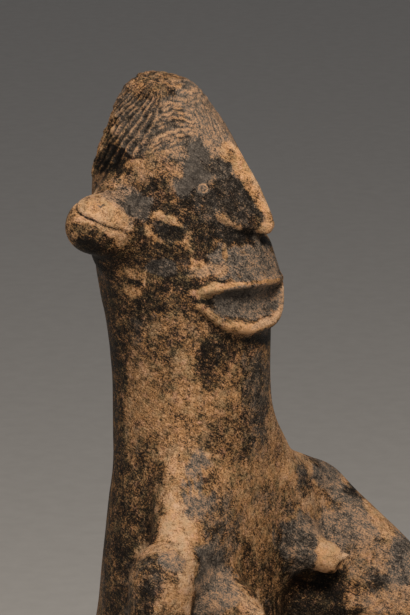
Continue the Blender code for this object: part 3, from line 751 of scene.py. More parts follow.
def nose_rolls():
    """The rounded ridge down to the nose's tip, and the wings beside it."""
    ridge = [(forward - RIDGE_RADIUS, 0.0, height, RIDGE_RADIUS) for height, forward in RIDGE]
    return limb(*ridge) + limb(*SEPTUM) + paired({side: NOSE_WING for side in SIDES})


def side_of(turn):
    return 1 if turn > 0 else -1


def lip_share(turn):
    """0 at the front of the lips and 1 at their corners."""
    return min(abs(turn) / LIP_CORNER_TURN[side_of(turn)], 1.0)


def lip_turns(steps):
    """Turns from the left corner of the lips to the right one."""
    return [mix(-LIP_CORNER_TURN[-1], LIP_CORNER_TURN[1], step / steps) for step in range(steps + 1)]


def upper_lip_height(turn):
    tilt = UPPER_LIP_TILT * math.sin(turn)
    return UPPER_LIP_HEIGHT + tilt - UPPER_LIP_CORNER_DROP[side_of(turn)] * lip_share(turn) ** 2.3


def lower_lip_height(turn):
    side = side_of(turn)
    share = min(lip_share(turn) / LOWER_LIP_RISE_END[side], 1.0)
    return LOWER_LIP_HEIGHT + LOWER_LIP_CORNER_RISE[side] * share ** LOWER_LIP_RISE_BEND[side]


def lip_point(turn, reach, height):
    """A point of the lips' oval in plan, at a share of its size."""
    forward = LIPS_FORWARD + LIPS_DEPTH * reach * math.cos(turn)
    right = LIPS_HALF_WIDTH * reach * math.sin(turn)
    return (forward, right, height)


def lip_ring(reach, height_at):
    turns = [math.tau * step / RING_POINTS - math.pi for step in range(RING_POINTS)]
    return [lip_point(turn, reach, height_at(turn)) for turn in turns]


def muzzle():
    """The mass above the mouth, whose lower edge is the upper lip."""
    rings = [lip_ring(reach, lambda turn, level=level: level) for level, reach in MUZZLE_LEVELS]
    rings.append(lip_ring(UPPER_LIP_REACH, upper_lip_height))
    return loft(rings)


def lower_jaw():
    """The mass below the mouth, which carries the lower lip's rim."""
    rim_top = RIM_RADIUS * 0.6

    def foot(turn):
        return LOWER_LIP_FOOT + LOWER_LIP_FOOT_RISE * lip_share(turn) ** 2

    rings = [
        lip_ring(JAW_CORE_REACH, foot),
        lip_ring(JAW_REACH, lambda turn: mix(foot(turn), lower_lip_height(turn), 0.5)),
        lip_ring(JAW_RIM_REACH, lower_lip_height),
        lip_ring(JAW_TOP_REACH, lambda turn: lower_lip_height(turn) + rim_top),
        lip_ring(JAW_CORE_REACH, lambda turn: MOUTH_SLIT_HEIGHT),
    ]
    return loft(rings)


def mouth_cutter():
    """The open mouth: a bowl behind the lower lip that rises to a slit under the upper lip."""
    rings = []
    for turn in lip_turns(MOUTH_STEPS):
        turn *= MOUTH_SHARE
        share = lip_share(turn)
        slit_reach = mix(MOUTH_SLIT_REACH, MOUTH_CORNER_REACH, share ** MOUTH_SLIT_BEND[side_of(turn)])
        top = upper_lip_height(turn)
        bottom = min(lower_lip_height(turn) + RIM_RADIUS * 0.5, top - MOUTH_LEAST_GAP)
        slit = max(min(MOUTH_SLIT_HEIGHT, top - 1.4), (top + bottom) / 2)
        bowl_reach = mix(slit_reach, MOUTH_RIM_REACH, MOUTH_BOWL_SHARE)
        bowl = mix(bottom, slit, MOUTH_BOWL_RISE)
        corners = (
            (MOUTH_CUT_REACH, top + 1.0),
            (UPPER_LIP_REACH, top),
            (slit_reach, min(slit + 1.2, top - 0.3)),
            (slit_reach, slit - 0.2),
            (bowl_reach, bowl),
            (max(MOUTH_RIM_REACH, slit_reach + 0.01), bottom - 1.2 * (1 - share)),
            (1.0, bottom),
            (MOUTH_CUT_REACH, bottom),
        )
        rings.append([lip_point(turn, *corner) for corner in corners])
    return loft(rings)


def lip_rolls():
    """The thin roll of the upper lip and the thick rim of the lower one."""
    upper = []
    lower = []
    for turn in lip_turns(LIP_STEPS):
        share = lip_share(turn)
        radius = mix(UPPER_ROLL_RADIUS, UPPER_ROLL_CORNER_RADIUS, share**2)
        reach = UPPER_LIP_REACH + 0.03 - radius / LIPS_DEPTH
        upper.append((*lip_point(turn, reach, upper_lip_height(turn) + radius), radius))
        droop = RIM_DROOP * max(math.sin(turn), 0.0) * (1.0 - share**3)
        rim = RIM_RADIUS * mix(1.0, RIM_CORNER_SHARE, share**3) + droop * 0.5
        lower.append((*lip_point(turn, 1.0 - rim / LIPS_DEPTH, lower_lip_height(turn) - droop), rim))
    return limb(*upper) + limb(*lower)


def ears():
    lumps = []
    for side in SIDES:
        centre, heel, stalk = (mirrored(spot, side) for spot in (EAR_CENTRE, EAR_HEEL, EAR_STALK))
        lumps.append(egg(centre, EAR_RADII, turn=EAR_TURN * side))
        lumps.append(egg(heel, EAR_HEEL_RADII))
        lumps += limb(stalk, (*centre, EAR_RADII[1]))
    return lumps


def arms():
    lumps = []
    for side in SIDES:
        shoulder, elbow, wrist, hand = on_side(side, SHOULDER, ELBOW, WRIST, HAND)
        lumps.append(ball(*shoulder))
        lumps += jointed((*shoulder[:3], ARM_RADIUS), elbow, wrist, hand)
        lumps.append(egg(hand[:3], PALM_RADII, turn=PALM_TURN * side))
    return lumps


def shoulders():
    """Broad webs of clay from the neck and the chest out to the arms."""
    lumps = limb(*NECK_FLARE)
    for side in SIDES:
        neck, ridge, shoulder = on_side(side, NECK_SIDE, SHOULDER_RIDGE, SHOULDER)
        lumps.append(web(neck, ridge, CHEST, NECK_FRONT))
        lumps.append(web((*shoulder[:3], WEB_END_RADIUS[side]), CHEST_SIDE[side], WAIST))
    return [*lumps, web(*on_side(-1, SHOULDER, ELBOW, ARMPIT))]


def breasts():
    return paired(BREAST)


def nipples():
    return paired(NUB, BEAK)


def scoops():
    return [ball(*mirrored(SCOOP[side], side)) for side in SIDES]


def legs():
    return [lump for side in SIDES for lump in jointed(*(mirrored(joint, side) for joint in LEG))]


def base():
    """A low oval slab under the knees and feet."""
    slab = bmesh.new()
    bmesh.ops.create_cone(slab, cap_ends=True, segments=96, radius1=1.0, radius2=1.0, depth=1.0)
    thickness = BASE_THICKNESS + SAW_ALLOWANCE
    scale = Matrix.Diagonal((BASE_HALF_WIDTH * MM, BASE_HALF_LENGTH * MM, thickness * MM, 1.0))
    middle = place(BASE_FORWARD, 0.0, BASE_THICKNESS - thickness / 2)
    return shaped("base", slab, Matrix.Translation(middle) @ scale)


def child():
    """A plain infant: head, rounded body and drawn-up knees."""
    thigh = (*CHILD_SEAT[:3], CHILD_THIGH_RADIUS)
    lumps = [egg(CHILD_HEAD, CHILD_HEAD_RADII), *limb(CHILD_CHEST, CHILD_SEAT)]
    for knee in CHILD_KNEES:
        lumps += limb(thigh, knee)
    return lumps


def smooth_step(low, high, values):
    share = np.clip((values - low) / (high - low), 0.0, 1.0)
    return share * share * (3.0 - 2.0 * share)


def hump(offset, width, power=2):
    """1 where the offset is 0, falling away smoothly over the width."""
    return np.exp(-((offset / width) ** power))


def grain(points, size, seed):
    """Smooth noise from -1 to 1 at points in millimetres, with lumps about as wide as size."""
    cell = np.floor(points / size).astype(np.int64)
    inside = points / size - cell
    inside = inside * inside * (3.0 - 2.0 * inside)
    total = np.zeros(len(points))
    for corner in range(8):
        step = np.array([corner & 1, corner >> 1 & 1, corner >> 2 & 1])
        key = np.bitwise_xor.reduce((cell + step) * CELL_PRIMES, axis=1) ^ seed * SEED_PRIME
        key = (key ^ key >> 13) * MIXING_PRIME & 0xFFFFFFFF
        key = (key ^ key >> 16) & 0xFFFF
        weight = np.prod(np.where(step == 1, inside, 1.0 - inside), axis=1)
        total += weight * (2 * key / 0xFFFF - 1.0)
    return total


def vectors(rows, name):
    """One vector of each row of a mesh's data."""
    values = np.empty(len(rows) * 3)
    rows.foreach_get(name, values)
    return values.reshape(-1, 3)


def vertex_data(mesh):
    """Every vertex as forward, right and up in millimetres, and its outward normal the same way."""
    points = vectors(mesh.vertices, "co") * PLACE_SIGNS / MM
    normals = vectors(mesh.vertex_normals, "vector") * PLACE_SIGNS
    return points[:, PLACE_ORDER], normals[:, PLACE_ORDER]


def move_vertices(mesh, points):
    """Puts the vertices at these points in millimetres."""
    mesh.vertices.foreach_set("co", (points[:, PLACE_ORDER] * PLACE_SIGNS * MM).ravel())
    mesh.update()


def hairline_rise(points):
    """How far above the ragged hairline each point is."""
    ragged = HAIRLINE_RAGGED * grain(points, *HAIRLINE_GRAIN)
    return points[:, 2] - HAIRLINE_HEIGHT - HAIRLINE_SLOPE * points[:, 0] + ragged


def hair_turn(points):
    """Each point's angle and distance from the axis that the hair on its side fans out from."""
    crown_axis = FAN_FORWARD - FAN_LEAN * np.maximum(FAN_HEIGHT - points[:, 2], 0.0)
    ahead = points[:, 0] - crown_axis
    aside = np.abs(points[:, 1]) - FAN_POLE_OFFSET * smooth_step(*FAN_POLE_HEIGHTS, points[:, 2])
    return np.abs(np.arctan2(aside, ahead)), np.hypot(aside, ahead)


def fan_strands(points, turn, wander, fine):
    """Narrow ridges between wide grooves, down the back and the sides."""
    sway = 0.25 * np.sin(points[:, 2] * 0.35) + 1.6 * wander + 1.2 * fine
    ridge = 0.5 + 0.5 * np.cos(HAIR_GROOVES * turn + sway - math.pi / 2)
    return 2.0 * ridge**2.6 * (0.85 + 0.5 * grain(points, *FAN_BREAKS)) - 0.9 + 0.5 * fine


def wave_strands(points, turn, wander, fine):
    """Short wavy strokes over the front of the crown."""
    slope = mix(HAIR_WAVE_SLOPE, 0.0, smooth_step(*HAIR_WAVE_LEVEL, points[:, 2]))
    distance = points[:, 2] - slope * points[:, 0]
    sway = 1.3 * np.sin(turn * 6.0) + 3.6 * wander + 2.6 * fine
    ridge = 0.5 + 0.5 * np.cos(math.tau * distance / HAIR_WAVE_PITCH + sway)
    broken = smooth_step(-0.95, 0.15, grain(points * WAVE_STRETCH, *WAVE_BREAKS))
    return 2.0 * ridge**0.6 * broken - 0.85 + 0.6 * fine


def crown_strokes(points):
    """Short strokes every way over the top of the crown."""
    lumps = grain(points * CROWN_STRETCH, *CROWN_LUMPS) + 0.3 * grain(points, *CROWN_DRIFT)
    return np.clip(1.1 * lumps + 0.1, -1.0, 1.0)


def hatch_strands(points, wander, fine):
    """Fine hatching beside the ridge, above the forehead."""
    across = points[:, 1] + 0.25 * points[:, 2]
    hatch = np.sin(math.tau * across / HATCH_PITCH + 2.4 * wander + 1.8 * fine)
    return 0.6 * hatch + 0.5 * grain(points, *HATCH_BREAKS)


def hair_strands(points):
    """The combed hair from -1 in the grooves to 1 on the ridges, and how deep it is cut there."""
    turn, radius = hair_turn(points)
    rise = hairline_rise(points)
    wander = grain(points, *SWAY)
    fine = grain(points, *FINE_SWAY)
    hatched = smooth_step(*HATCH_TURNS, turn) * smooth_step(*HATCH_RISES, rise)
    front = mix(wave_strands(points, turn, wander, fine), hatch_strands(points, wander, fine), hatched)
    share = smooth_step(HAIR_FRONT_TURN + HAIR_FRONT_BLEND, HAIR_FRONT_TURN - HAIR_FRONT_BLEND, turn)
    strands = mix(fan_strands(points, turn, wander, fine), front, share)
    depth = mix(HAIR_DEPTH, mix(HAIR_WAVE_DEPTH, HATCH_DEPTH, hatched), share)
    high = smooth_step(*CROWN_HEIGHTS, points[:, 2] + 2.0 * wander)
    crown = high * smooth_step(*CROWN_RADIUS, radius)
    strands = mix(strands, crown_strokes(points), crown)
    depth = mix(depth, CROWN_STROKE_DEPTH, crown)
    return strands, depth * smooth_step(*HAIRLINE_DEPTH, rise)


def ear_slit_distance(points):
    """Each point's height above the slanting slit, and how much it is on an ear."""
    forward, right, up = points.T
    slit = EAR_SLIT_HEIGHT + EAR_SLIT_SLOPE * (forward - EAR_SLIT_FORWARD)
    slit = slit + 0.6 * np.sin((forward - EAR_SLIT_FORWARD) * 0.32)
    on_ear = smooth_step(*EAR_SLIT_SIDE, np.abs(right)) * smooth_step(*EAR_SLIT_FRONT, forward)
    return up - slit, on_ear


def ear_slit_relief(points):
    """The slit parts each bean-shaped ear, and the lobe above it overhangs a little."""
    off_slit, on_ear = ear_slit_distance(points)
    cut = -EAR_SLIT_DEPTH * hump(off_slit, EAR_SLIT_HALF_WIDTH)
    brow = EAR_BROW * hump(off_slit - EAR_BROW_RISE, EAR_BROW_HALF_WIDTH)
    return (cut + brow) * on_ear


def ring_eye_distance(points):
    eye_forward, eye_right, eye_up = RING_EYE
    across = np.abs(points[:, 1]) - eye_right
    return np.sqrt((points[:, 0] - eye_forward) ** 2 + across**2 + (points[:, 2] - eye_up) ** 2)


def ring_eye_relief(points):
    """A small raised ring with a sunk middle on each side of the ridge."""
    off_centre = ring_eye_distance(points)
    return 0.6 * hump(off_centre - RING_EYE_RADIUS, 0.8) - 0.3 * hump(off_centre, 1.2)


def bean_eye_relief(points):
    """A low slanting oval with raised lids, which fades out away from the cheek."""
    eye_forward, eye_right, eye_up = BEAN_EYE
    ahead = points[:, 0] - eye_forward
    across = (points[:, 2] - eye_up + BEAN_EYE_SLOPE * ahead) / BEAN_EYE_HALF_HEIGHT
    oval = np.hypot(ahead / BEAN_EYE_HALF_LENGTH, across)
    near = hump(np.abs(points[:, 1]) - eye_right, BEAN_EYE_FADE, power=4)
    return BEAN_EYE_RELIEF * (hump(oval - 0.8, 0.24) - 0.5 * hump(oval, 0.4)) * near


def hand_relief(points):
    """The slow unevenness of clay worked by hand, and small dents."""
    slow = 0.55 * grain(points, *SLOW_HILLS) + 0.3 * grain(points, *HILLS)
    dents = np.maximum(grain(points, *DENTS) - 0.55, 0.0)
    return slow - 0.8 * dents


def carved(body):
    """Moves the surface in and out along its normals, as a tool, a thumb or wear would."""
    points, normals = vertex_data(body.data)
    strands, depth = hair_strands(points)
    relief = strands * depth + hand_relief(points) * smooth_step(*EVEN_FOOT, points[:, 2])
    relief += 0.3 * grain(points, *HAIR_CRUMBS) * smooth_step(*HAIRLINE_DEPTH, hairline_rise(points))
    relief += ear_slit_relief(points) + ring_eye_relief(points) + bean_eye_relief(points)
    move_vertices(body.data, points + normals * relief[:, None])
    return body


def finely_carved(points):
    """Where the carving is finest: the hair, the ears' slits, the ring eyes and the lips."""
    off_slit, on_ear = ear_slit_distance(points)
    wanted = hairline_rise(points) > DETAIL_HAIR_RISE
    wanted |= (np.abs(off_slit) < DETAIL_SLIT_REACH) & (on_ear > 0.05)
    wanted |= ring_eye_distance(points) < DETAIL_RING_REACH
    forward, right, up = points.T
    reach = np.hypot((forward - LIPS_FORWARD) / LIPS_DEPTH, right / LIPS_HALF_WIDTH)
    lowest, highest = DETAIL_LIP_HEIGHTS
    lips = (reach > DETAIL_LIP_REACH) & (forward > DETAIL_LIP_BACK)
    return wanted | lips & (up > lowest) & (up < highest)


def thinned(body):
    """Takes triangles out of the plain parts, and few out of the head."""
    modified(body, "TRIANGULATE")
    points, _ = vertex_data(body.data)
    spare = body.vertex_groups.new(name="spare")
    plain = smooth_step(*FACE_BOTTOM, points[:, 2])
    for share in SPARE_SHARES:
        chosen = np.flatnonzero((plain <= share) & (plain > share - SPARE_SHARES[0]))
        spare.add([int(index) for index in chosen], share, "REPLACE")
    ratio = TRIANGLES_BEFORE_DETAIL / len(body.data.polygons)
    return modified(body, "DECIMATE", ratio=ratio, vertex_group="spare", vertex_group_factor=1.0)


def refined(body):
    """Splits the triangles where the carving is finest."""
    points, _ = vertex_data(body.data)
    wanted = finely_carved(points)
    mesh = bmesh.new()
    mesh.from_mesh(body.data)
    mesh.verts.ensure_lookup_table()
    edges = [edge for edge in mesh.edges if wanted[edge.verts[0].index] and wanted[edge.verts[1].index]]
    bmesh.ops.subdivide_edges(mesh, edges=edges, cuts=1, use_grid_fill=True)
    bmesh.ops.triangulate(mesh, faces=[face for face in mesh.faces if len(face.verts) > 3])
    mesh.to_mesh(body.data)
    mesh.free()
    points, _ = vertex_data(body.data)
    wanted = np.flatnonzero(finely_carved(points))
    fine = body.vertex_groups.new(name="fine")
    fine.add([int(index) for index in wanted], 1.0, "REPLACE")
    return modified(body, "SMOOTH", factor=0.5, iterations=2, vertex_group="fine")


def sawn_flat(body):
    """Cuts the underside flat."""
    clay = bmesh.new()
    clay.from_mesh(body.data)
    everything = [*clay.verts, *clay.edges, *clay.faces]
    cut = bmesh.ops.bisect_plane(
        clay, geom=everything, plane_co=(0, 0, 0), plane_no=(0, 0, 1), clear_inner=True
    )
    rim = [part for part in cut["geom_cut"] if isinstance(part, bmesh.types.BMEdge)]
    bmesh.ops.contextual_create(clay, geom=rim)
    bmesh.ops.triangulate(clay, faces=[face for face in clay.faces if len(face.verts) > 3])
    bmesh.ops.recalc_face_normals(clay, faces=clay.faces)
    clay.to_mesh(body.data)
    clay.free()
    return body


def fine_figure():
    masses = column() + ears() + shoulders() + arms() + breasts() + legs() + child() + [base()]
    body = kneaded("rough_clay", masses, ROUGH_VOXEL, ROUGH_ROUNDS)
    details = [face_wedge(), muzzle(), lower_jaw(), *nose_rolls(), *nipples()]
    body = kneaded("face_clay", [body, *details], FINE_VOXEL, FACE_ROUNDS)
    cutter = kneaded("hollows", [mouth_cutter(), *scoops()], CUTTER_VOXEL, 1)
    modified(body, "BOOLEAN", operation="DIFFERENCE", object=cutter)
    bpy.data.objects.remove(cutter)
    body = kneaded("terracotta_figure", [body, *lip_rolls()], FINE_VOXEL, FINE_ROUNDS)
    return sawn_flat(carved(refined(thinned(body))))


def edge_mean(mesh, value):
    """The mean over each vertex's edges of value(vertex, other end)."""
    pairs = np.empty(len(mesh.edges) * 2, dtype=np.int64)
    mesh.edges.foreach_get("vertices", pairs)
    first, second = pairs.reshape(-1, 2).T
    count = len(mesh.vertices)
    links = np.bincount(first, minlength=count) + np.bincount(second, minlength=count)
    total = np.bincount(first, weights=value(first, second), minlength=count)
    total += np.bincount(second, weights=value(second, first), minlength=count)
    return total / np.maximum(links, 1)


def neighbours_mean(mesh, values):
    return edge_mean(mesh, lambda _, other: values[other])


def bulge(mesh, points, normals):
    """How much the surface stands out around each vertex, in 1/mm, smoothed."""
    around = np.stack([neighbours_mean(mesh, points[:, axis]) for axis in range(3)], axis=1)
    out = np.sum((points - around) * normals, axis=1)
    length = edge_mean(mesh, lambda own, other: np.linalg.norm(points[own] - points[other], axis=1))
    curve = out / np.maximum(length, SHORTEST_EDGE) ** 2
    for _ in range(BULGE_ROUNDS):
        curve = mix(curve, neighbours_mean(mesh, curve), BULGE_BLEND)
    return curve


def view_axes():
    """The camera's right, up and back directions, as forward, right and up."""
    turn = math.radians(CAMERA_TURN)
    rise = math.radians(CAMERA_RISE)
    back = np.array([math.cos(turn) * math.cos(rise), math.sin(turn) * math.cos(rise), math.sin(rise)])
    across = np.array([math.sin(turn), -math.cos(turn), 0.0])
    above = np.array([-math.cos(turn) * math.sin(rise), -math.sin(turn) * math.sin(rise), math.cos(rise)])
    return across, above, back


def photo_place(points):
    """Where points in millimetres are in the photo, in its pixels."""
    across, above, back = view_axes()
    offset = points - np.array(CAMERA_TARGET)
    depth = CAMERA_DISTANCE - offset @ back
    focus = CAMERA_DISTANCE / PIXEL
    x = PHOTO_WIDTH / 2 + focus * (offset @ across) / depth
    y = PHOTO_HEIGHT / 2 - focus * (offset @ above) / depth
    return x, y


def patch_cover(x, y, ragged, patch):
    """How much of each place in the photo a ragged oval patch covers."""
    middle_x, middle_y, half_length, half_width, tilt = patch[:5]
    turn = math.radians(tilt)
    share = np.clip(min(half_length, half_width) / WANDER_WIDTH, *WANDER_SHARES)
    off_x = x - middle_x + ragged[0] * share
    off_y = y - middle_y + ragged[1] * share
    along = (off_x * math.cos(turn) + off_y * math.sin(turn)) / half_length
    over = (off_y * math.cos(turn) - off_x * math.sin(turn)) / half_width
    return smooth_step(*PATCH_EDGE, np.hypot(along, over))


def painted(points, normals):
    """Wear, tone and greyness from the patches, seen from the photo's side and mirrored on the other."""
    back = view_axes()[2]
    broad = 0.6 * grain(points, *BROAD_DRIFT) + 0.5 * grain(points, *DRIFT)
    unrest = np.stack([broad, 0.5 * broad, grain(points, *GREY_DRIFT)], axis=1)
    paint = np.array(PLAIN_COAT) + PLAIN_UNREST * unrest
    mirror = np.array([1.0, -1.0, 1.0])
    ragged = sum(
        reach * np.stack([grain(points, size, seed) for seed in seeds])
        for reach, size, seeds in OUTLINE_WANDER
    )
    direct = smooth_step(*SEEN, normals @ back)
    reflected = smooth_step(*SEEN, (normals * mirror) @ back) * (1.0 - direct)
    for seen, share in ((points, direct), (points * mirror, reflected)):
        x, y = photo_place(seen)
        for patch in PATCHES:
            cover = (patch_cover(x, y, ragged, patch) * share)[:, None]
            paint = paint * (1.0 - cover) + np.array(patch[5:]) * cover
    return paint.T / 100


def coated(figure):
    """Gives every vertex the shares that the clay material mixes by."""
    points, normals = vertex_data(figure.data)
    wear_and_shading, tone, grey_and_sheen = painted(points, normals)
    curve = bulge(figure.data, points, normals)
    strands, depth = hair_strands(points)
    in_hair = smooth_step(*IN_HAIR_DEPTHS, depth)
    wear_and_shading = wear_and_shading + HAIR_CONTRAST * strands * in_hair
    wear_and_shading = wear_and_shading + np.clip(curve * BULGE_WEAR, *BULGE_WEAR_RANGE) * (1.0 - in_hair)
    off_slit, on_ear = ear_slit_distance(points)
    layers = {
        "wear_and_shading": wear_and_shading,
        "tone": tone,
        "grey_and_sheen": grey_and_sheen,
        # painted shade, strongest where the surface is most concave
        "hollow_shade": HOLLOW_SHADE_SHARE * smooth_step(*HOLLOW_CURVES, -curve),
        "hair": in_hair,
        "slit": mix(FAR_OFF, np.abs(off_slit), on_ear),
        "ring": np.minimum(np.abs(ring_eye_distance(points) - RING_EYE_RADIUS), FAR_OFF),
    }
    for name, values in layers.items():
        layer = figure.data.attributes.new(name, "FLOAT", "POINT")
        layer.data.foreach_set("value", values.astype(np.float32))


def settled(figure):
    """Fits the mesh to the frame's box, and gives the same move for any other point."""
    low, high = np.array(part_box("maternity_figure"))
    corners = vectors(figure.data.vertices, "co")
    own_low = corners.min(axis=0)
    scale = (high - low) / (corners.max(axis=0) - own_low)
    move = Matrix.Translation(low) @ Matrix.Diagonal((*scale, 1.0)) @ Matrix.Translation(-own_low)
    figure.data.transform(move)
    return move


def linear(colour):
    """A colour given as sRGB levels from 0 to 255, as the shader wants it."""
    shares = np.array(colour) / 255
    bright = ((shares + 0.055) / 1.055) ** 2.4
    return (*np.where(shares < 0.04045, shares / 12.92, bright).tolist(), 1.0)


class Shading:
    """Short ways to add nodes to one material. A value is a number, a colour or another node's socket."""

    def __init__(self, name):
        self.material = bpy.data.materials.new(name)
        self.material.use_nodes = True
        self.tree = self.material.node_tree
        self.position = self.add("ShaderNodeTexCoord").outputs["Object"]

    def feed(self, node, values):
        for name, value in values.items():
            if isinstance(value, bpy.types.NodeSocket):
                self.tree.links.new(value, node.inputs[name])
            else:
                node.inputs[name].default_value = value

    def add(self, kind, values=None, **settings):
        node = self.tree.nodes.new(kind)
        for setting, value in settings.items():
            setattr(node, setting, value)
        self.feed(node, values or {})
        return node

    def finished(self, values):
        """The material, with these values on its shader."""
        self.feed(self.tree.nodes["Principled BSDF"], values)
        return self.material

    def maths(self, operation, *values):
        total = values[0]
        for value in values[1:]:
            total = self.add("ShaderNodeMath", {0: total, 1: value}, operation=operation).outputs[0]
        return total

    def product(self, *values):
        return self.maths("MULTIPLY", *values)

    def rest(self, *values):
        """1 less the product."""
        return self.maths("SUBTRACT", 1.0, self.product(*values))

    def weighed(self, start, *parts):
        """The start plus each part, which is given with its weights."""
        return self.maths("ADD", start, *(self.product(*part) for part in parts))

    def step(self, value, low, high):
        """0 below low and 1 above high, and smooth between them."""
        values = {"Value": value, "From Min": low, "From Max": high}
        return self.add("ShaderNodeMapRange", values, interpolation_type="SMOOTHSTEP").outputs["Result"]

    def noise(self, size, detail, roughness, seed, distortion=0.0, stretch=(1, 1, 1), turn=(0, 0, 0)):
        """Noise from about -0.5 to 0.5 with lumps of that size in millimetres, along turned axes."""
        lengths = [MM * size * length for length in stretch]
        places = {"Vector": self.position, "Rotation": turn, "Scale": lengths}
        values = {
            "Vector": self.add("ShaderNodeMapping", places, vector_type="TEXTURE").outputs["Vector"],
            "W": seed,
            "Scale": 1.0,
            "Detail": detail,
            "Roughness": roughness,
            "Distortion": distortion,
        }
        node = self.add("ShaderNodeTexNoise", values, noise_dimensions="4D")
        return self.maths("SUBTRACT", node.outputs["Fac"], 0.5)

    def ramp(self, value, colours):
        """A colour that runs through these colours at the stops."""
        node = self.add("ShaderNodeValToRGB", {"Fac": value})
        points = node.color_ramp.elements
        while len(points) < len(STOPS):
            points.new(0.5)
        for point, stop, colour in zip(points, STOPS, colours):
            point.position = stop
            point.color = linear(colour)
        return node.outputs["Color"]

    def layer(self, name):
        return self.add("ShaderNodeAttribute", attribute_name=name).outputs["Fac"]

    def mix(self, share, first, second):
        return self.add("ShaderNodeMix", {0: share, 6: first, 7: second}, data_type="RGBA").outputs[2]

    def darkened(self, colour, share):
        """The colour times a number."""
        values = {0: colour, "Scale": share}
        return self.add("ShaderNodeVectorMath", values, operation="SCALE").outputs[0]


def stroke_turn():
    """The turn that lays a texture's first axis along the scraping strokes."""
    across, above, back = (direction(axis) for axis in view_axes())
    tilt = math.radians(STROKE_TILT)
    along = across * math.cos(tilt) + above * math.sin(tilt)
    return Matrix((along, back.cross(along), back)).transposed().to_euler()


def clay_material():
    """Fired clay, tan to cream, under a dark slip that has worn away in patches."""
    make = Shading("worn_terracotta")
    wear_and_shading, tone, grey_and_sheen, hollow_shade, hair, slit, ring = (
        make.layer(name) for name in ("wear_and_shading", "tone", "grey_and_sheen", "hollow_shade", "hair", "slit", "ring")
    )
    slit = make.step(slit, *SLIT_LINE)
    ring = make.step(ring, *RING_LINE)
    broad, mottle, crumb, speckle, warmth, ash, earth, lumps, blush, glints = (
        make.noise(*kind)
        for kind in (BROAD, MOTTLE, CRUMB, SPECKLE, WARMTH, ASH, EARTH, LUMPS, BLUSH, GLINTS)
    )
    strokes = make.noise(*STROKES, stretch=STROKE_STRETCH, turn=stroke_turn())

    polished = make.product(make.step(grey_and_sheen, *POLISHED_GREYNESS), make.step(wear_and_shading, *POLISHED_WEAR))
    unrest = make.rest(polished, 0.6)
    plain = make.product(make.rest(hair, 0.5), unrest)
    level = make.weighed(
        wear_and_shading,
        (broad, BROAD_UNREST, plain),
        (mottle, MOTTLE_UNREST, plain),
        (strokes, STROKE_UNREST, plain),
        (crumb, CRUMB_UNREST, unrest),
        (speckle, SPECKLE_UNREST, unrest),
        (slit, -0.4),
        (ring, 0.4),
    )
    bare = make.step(level, *BARE_LEVELS)

    # Each clay over the brown one, with how much of it there is, and where it begins and where it is full
    clays = (
        (ROSY, make.weighed(0.35, (blush, 2.2), (crumb, 0.8)), 0.3, 0.9),
        (OLIVE, make.weighed(0.5, (earth, 2.0), (speckle, 0.8)), 0.35, 0.9),
        (CREAM, make.weighed(tone, (warmth, 0.8), (crumb, 0.4)), 0.35, 1.0),
        # greyness mixes in grey slip and painted sheen
        (CHARCOAL_AND_SHEEN, make.weighed(grey_and_sheen, (ash, 1.2), (crumb, 0.4)), 0.3, 1.0),
    )
    colour = make.ramp(level, BROWN)
    for colours, share, low, high in clays:
        colour = make.mix(make.step(share, low, high), colour, make.ramp(level, colours))
    # painted glints: pale specks in the colour stand in for highlights
    glinting = make.product(make.step(glints, *GLINT_LEVELS), GLINT_SHARE)
    colour = make.mix(glinting, colour, linear(GLINT_COLOUR))
    # painted shade: the colour is darkened in hollows
    colour = make.darkened(colour, make.rest(hollow_shade, HOLLOW_SHADE_DARKNESS))
    rough = make.weighed(0.48, (bare, 0.24), (mottle, 0.2), (hollow_shade, 0.15))
    height = make.weighed(
        make.product(lumps, 1.2),
        (crumb, 0.8, unrest),
        (speckle, 0.8, unrest),
        (strokes, 0.8, unrest),
        (bare, -0.25),
    )
    bump = make.add("ShaderNodeBump", {"Strength": 1.0, "Distance": MM, "Height": height})
    values = {"Base Color": colour, "Roughness": rough, "Specular IOR Level": CLAY_GLOSS}
    return make.finished({**values, "Normal": bump.outputs["Normal"]})


def floor_material():
    make = Shading("pale_floor")
    share = make.step(make.noise(*FLOOR_GRAIN), -0.3, 0.3)
    colour = make.mix(share, linear(FLOOR_DARK), linear(FLOOR_PALE))
    return make.finished({"Base Color": colour, "Roughness": FLOOR_ROUGHNESS})


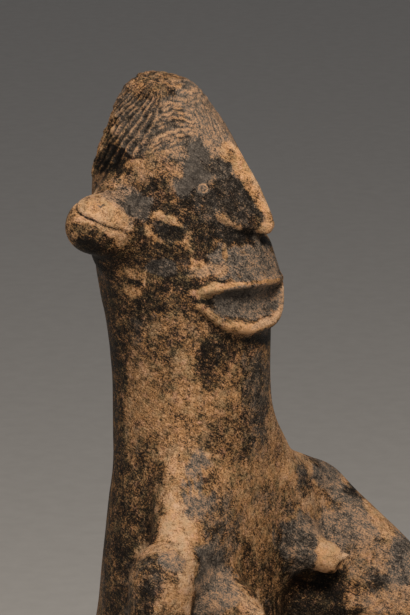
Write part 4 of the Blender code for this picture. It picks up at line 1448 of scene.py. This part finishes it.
def floor():
    """A wide plain floor under the figure."""
    sheet = bmesh.new()
    bmesh.ops.create_grid(sheet, x_segments=1, y_segments=1, size=FLOOR_HALF_WIDTH * MM)
    ground = shaped("floor", sheet)
    ground.data.materials.append(floor_material())
    return ground


def direction(vector):
    """A direction given as forward, right and up, in the scene's axes."""
    return place(*vector).normalized()


def facing(name, data, target, back, distance):
    """A camera or a lamp at a distance in millimetres back from the target, turned to it."""
    thing = scene_object(name, data)
    thing.location = target + back * distance * MM
    thing.rotation_euler = back.to_track_quat("Z", "Y").to_euler()
    return thing


def camera(target):
    lens = bpy.data.cameras.new("camera")
    lens.sensor_fit = "HORIZONTAL"
    lens.sensor_width = SENSOR_WIDTH
    lens.lens = SENSOR_WIDTH * CAMERA_DISTANCE / (PHOTO_WIDTH * PIXEL)
    back = direction(view_axes()[2])
    bpy.context.scene.camera = facing("camera", lens, target, back, CAMERA_DISTANCE)


def softbox(name, target, turn, rise, distance, size, watts, colour):
    """A square light, turned from the camera towards the picture's right and raised above it."""
    across, _, back = (direction(axis) for axis in view_axes())
    turn = math.radians(turn)
    rise = math.radians(rise)
    flat = (back * math.cos(turn) + across * math.sin(turn)) * math.cos(rise)
    towards = (flat + Vector((0, 0, math.sin(rise)))).normalized()
    lamp = bpy.data.lights.new(name, "AREA")
    lamp.size = size * MM
    lamp.energy = watts
    lamp.color = linear(colour)[:3]
    facing(name, lamp, target, towards, distance)


def surroundings():
    world = bpy.data.worlds.new("studio")
    world.use_nodes = True
    sky = world.node_tree.nodes["Background"]
    sky.inputs["Color"].default_value = linear(STUDIO_COLOUR)
    sky.inputs["Strength"].default_value = STUDIO_STRENGTH
    bpy.context.scene.world = world
    bpy.context.scene.view_settings.view_transform = "Standard"


def main():
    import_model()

    figure = fine_figure()
    coated(figure)
    move = settled(figure)
    figure.data.shade_smooth()
    figure.data.materials.append(clay_material())
    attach(figure, "root")
    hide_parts("maternity_figure")

    floor()
    target = move @ place(*CAMERA_TARGET)
    camera(target)
    for name, *settings in LIGHTS:
        softbox(name, target, *settings)
    surroundings()


main()
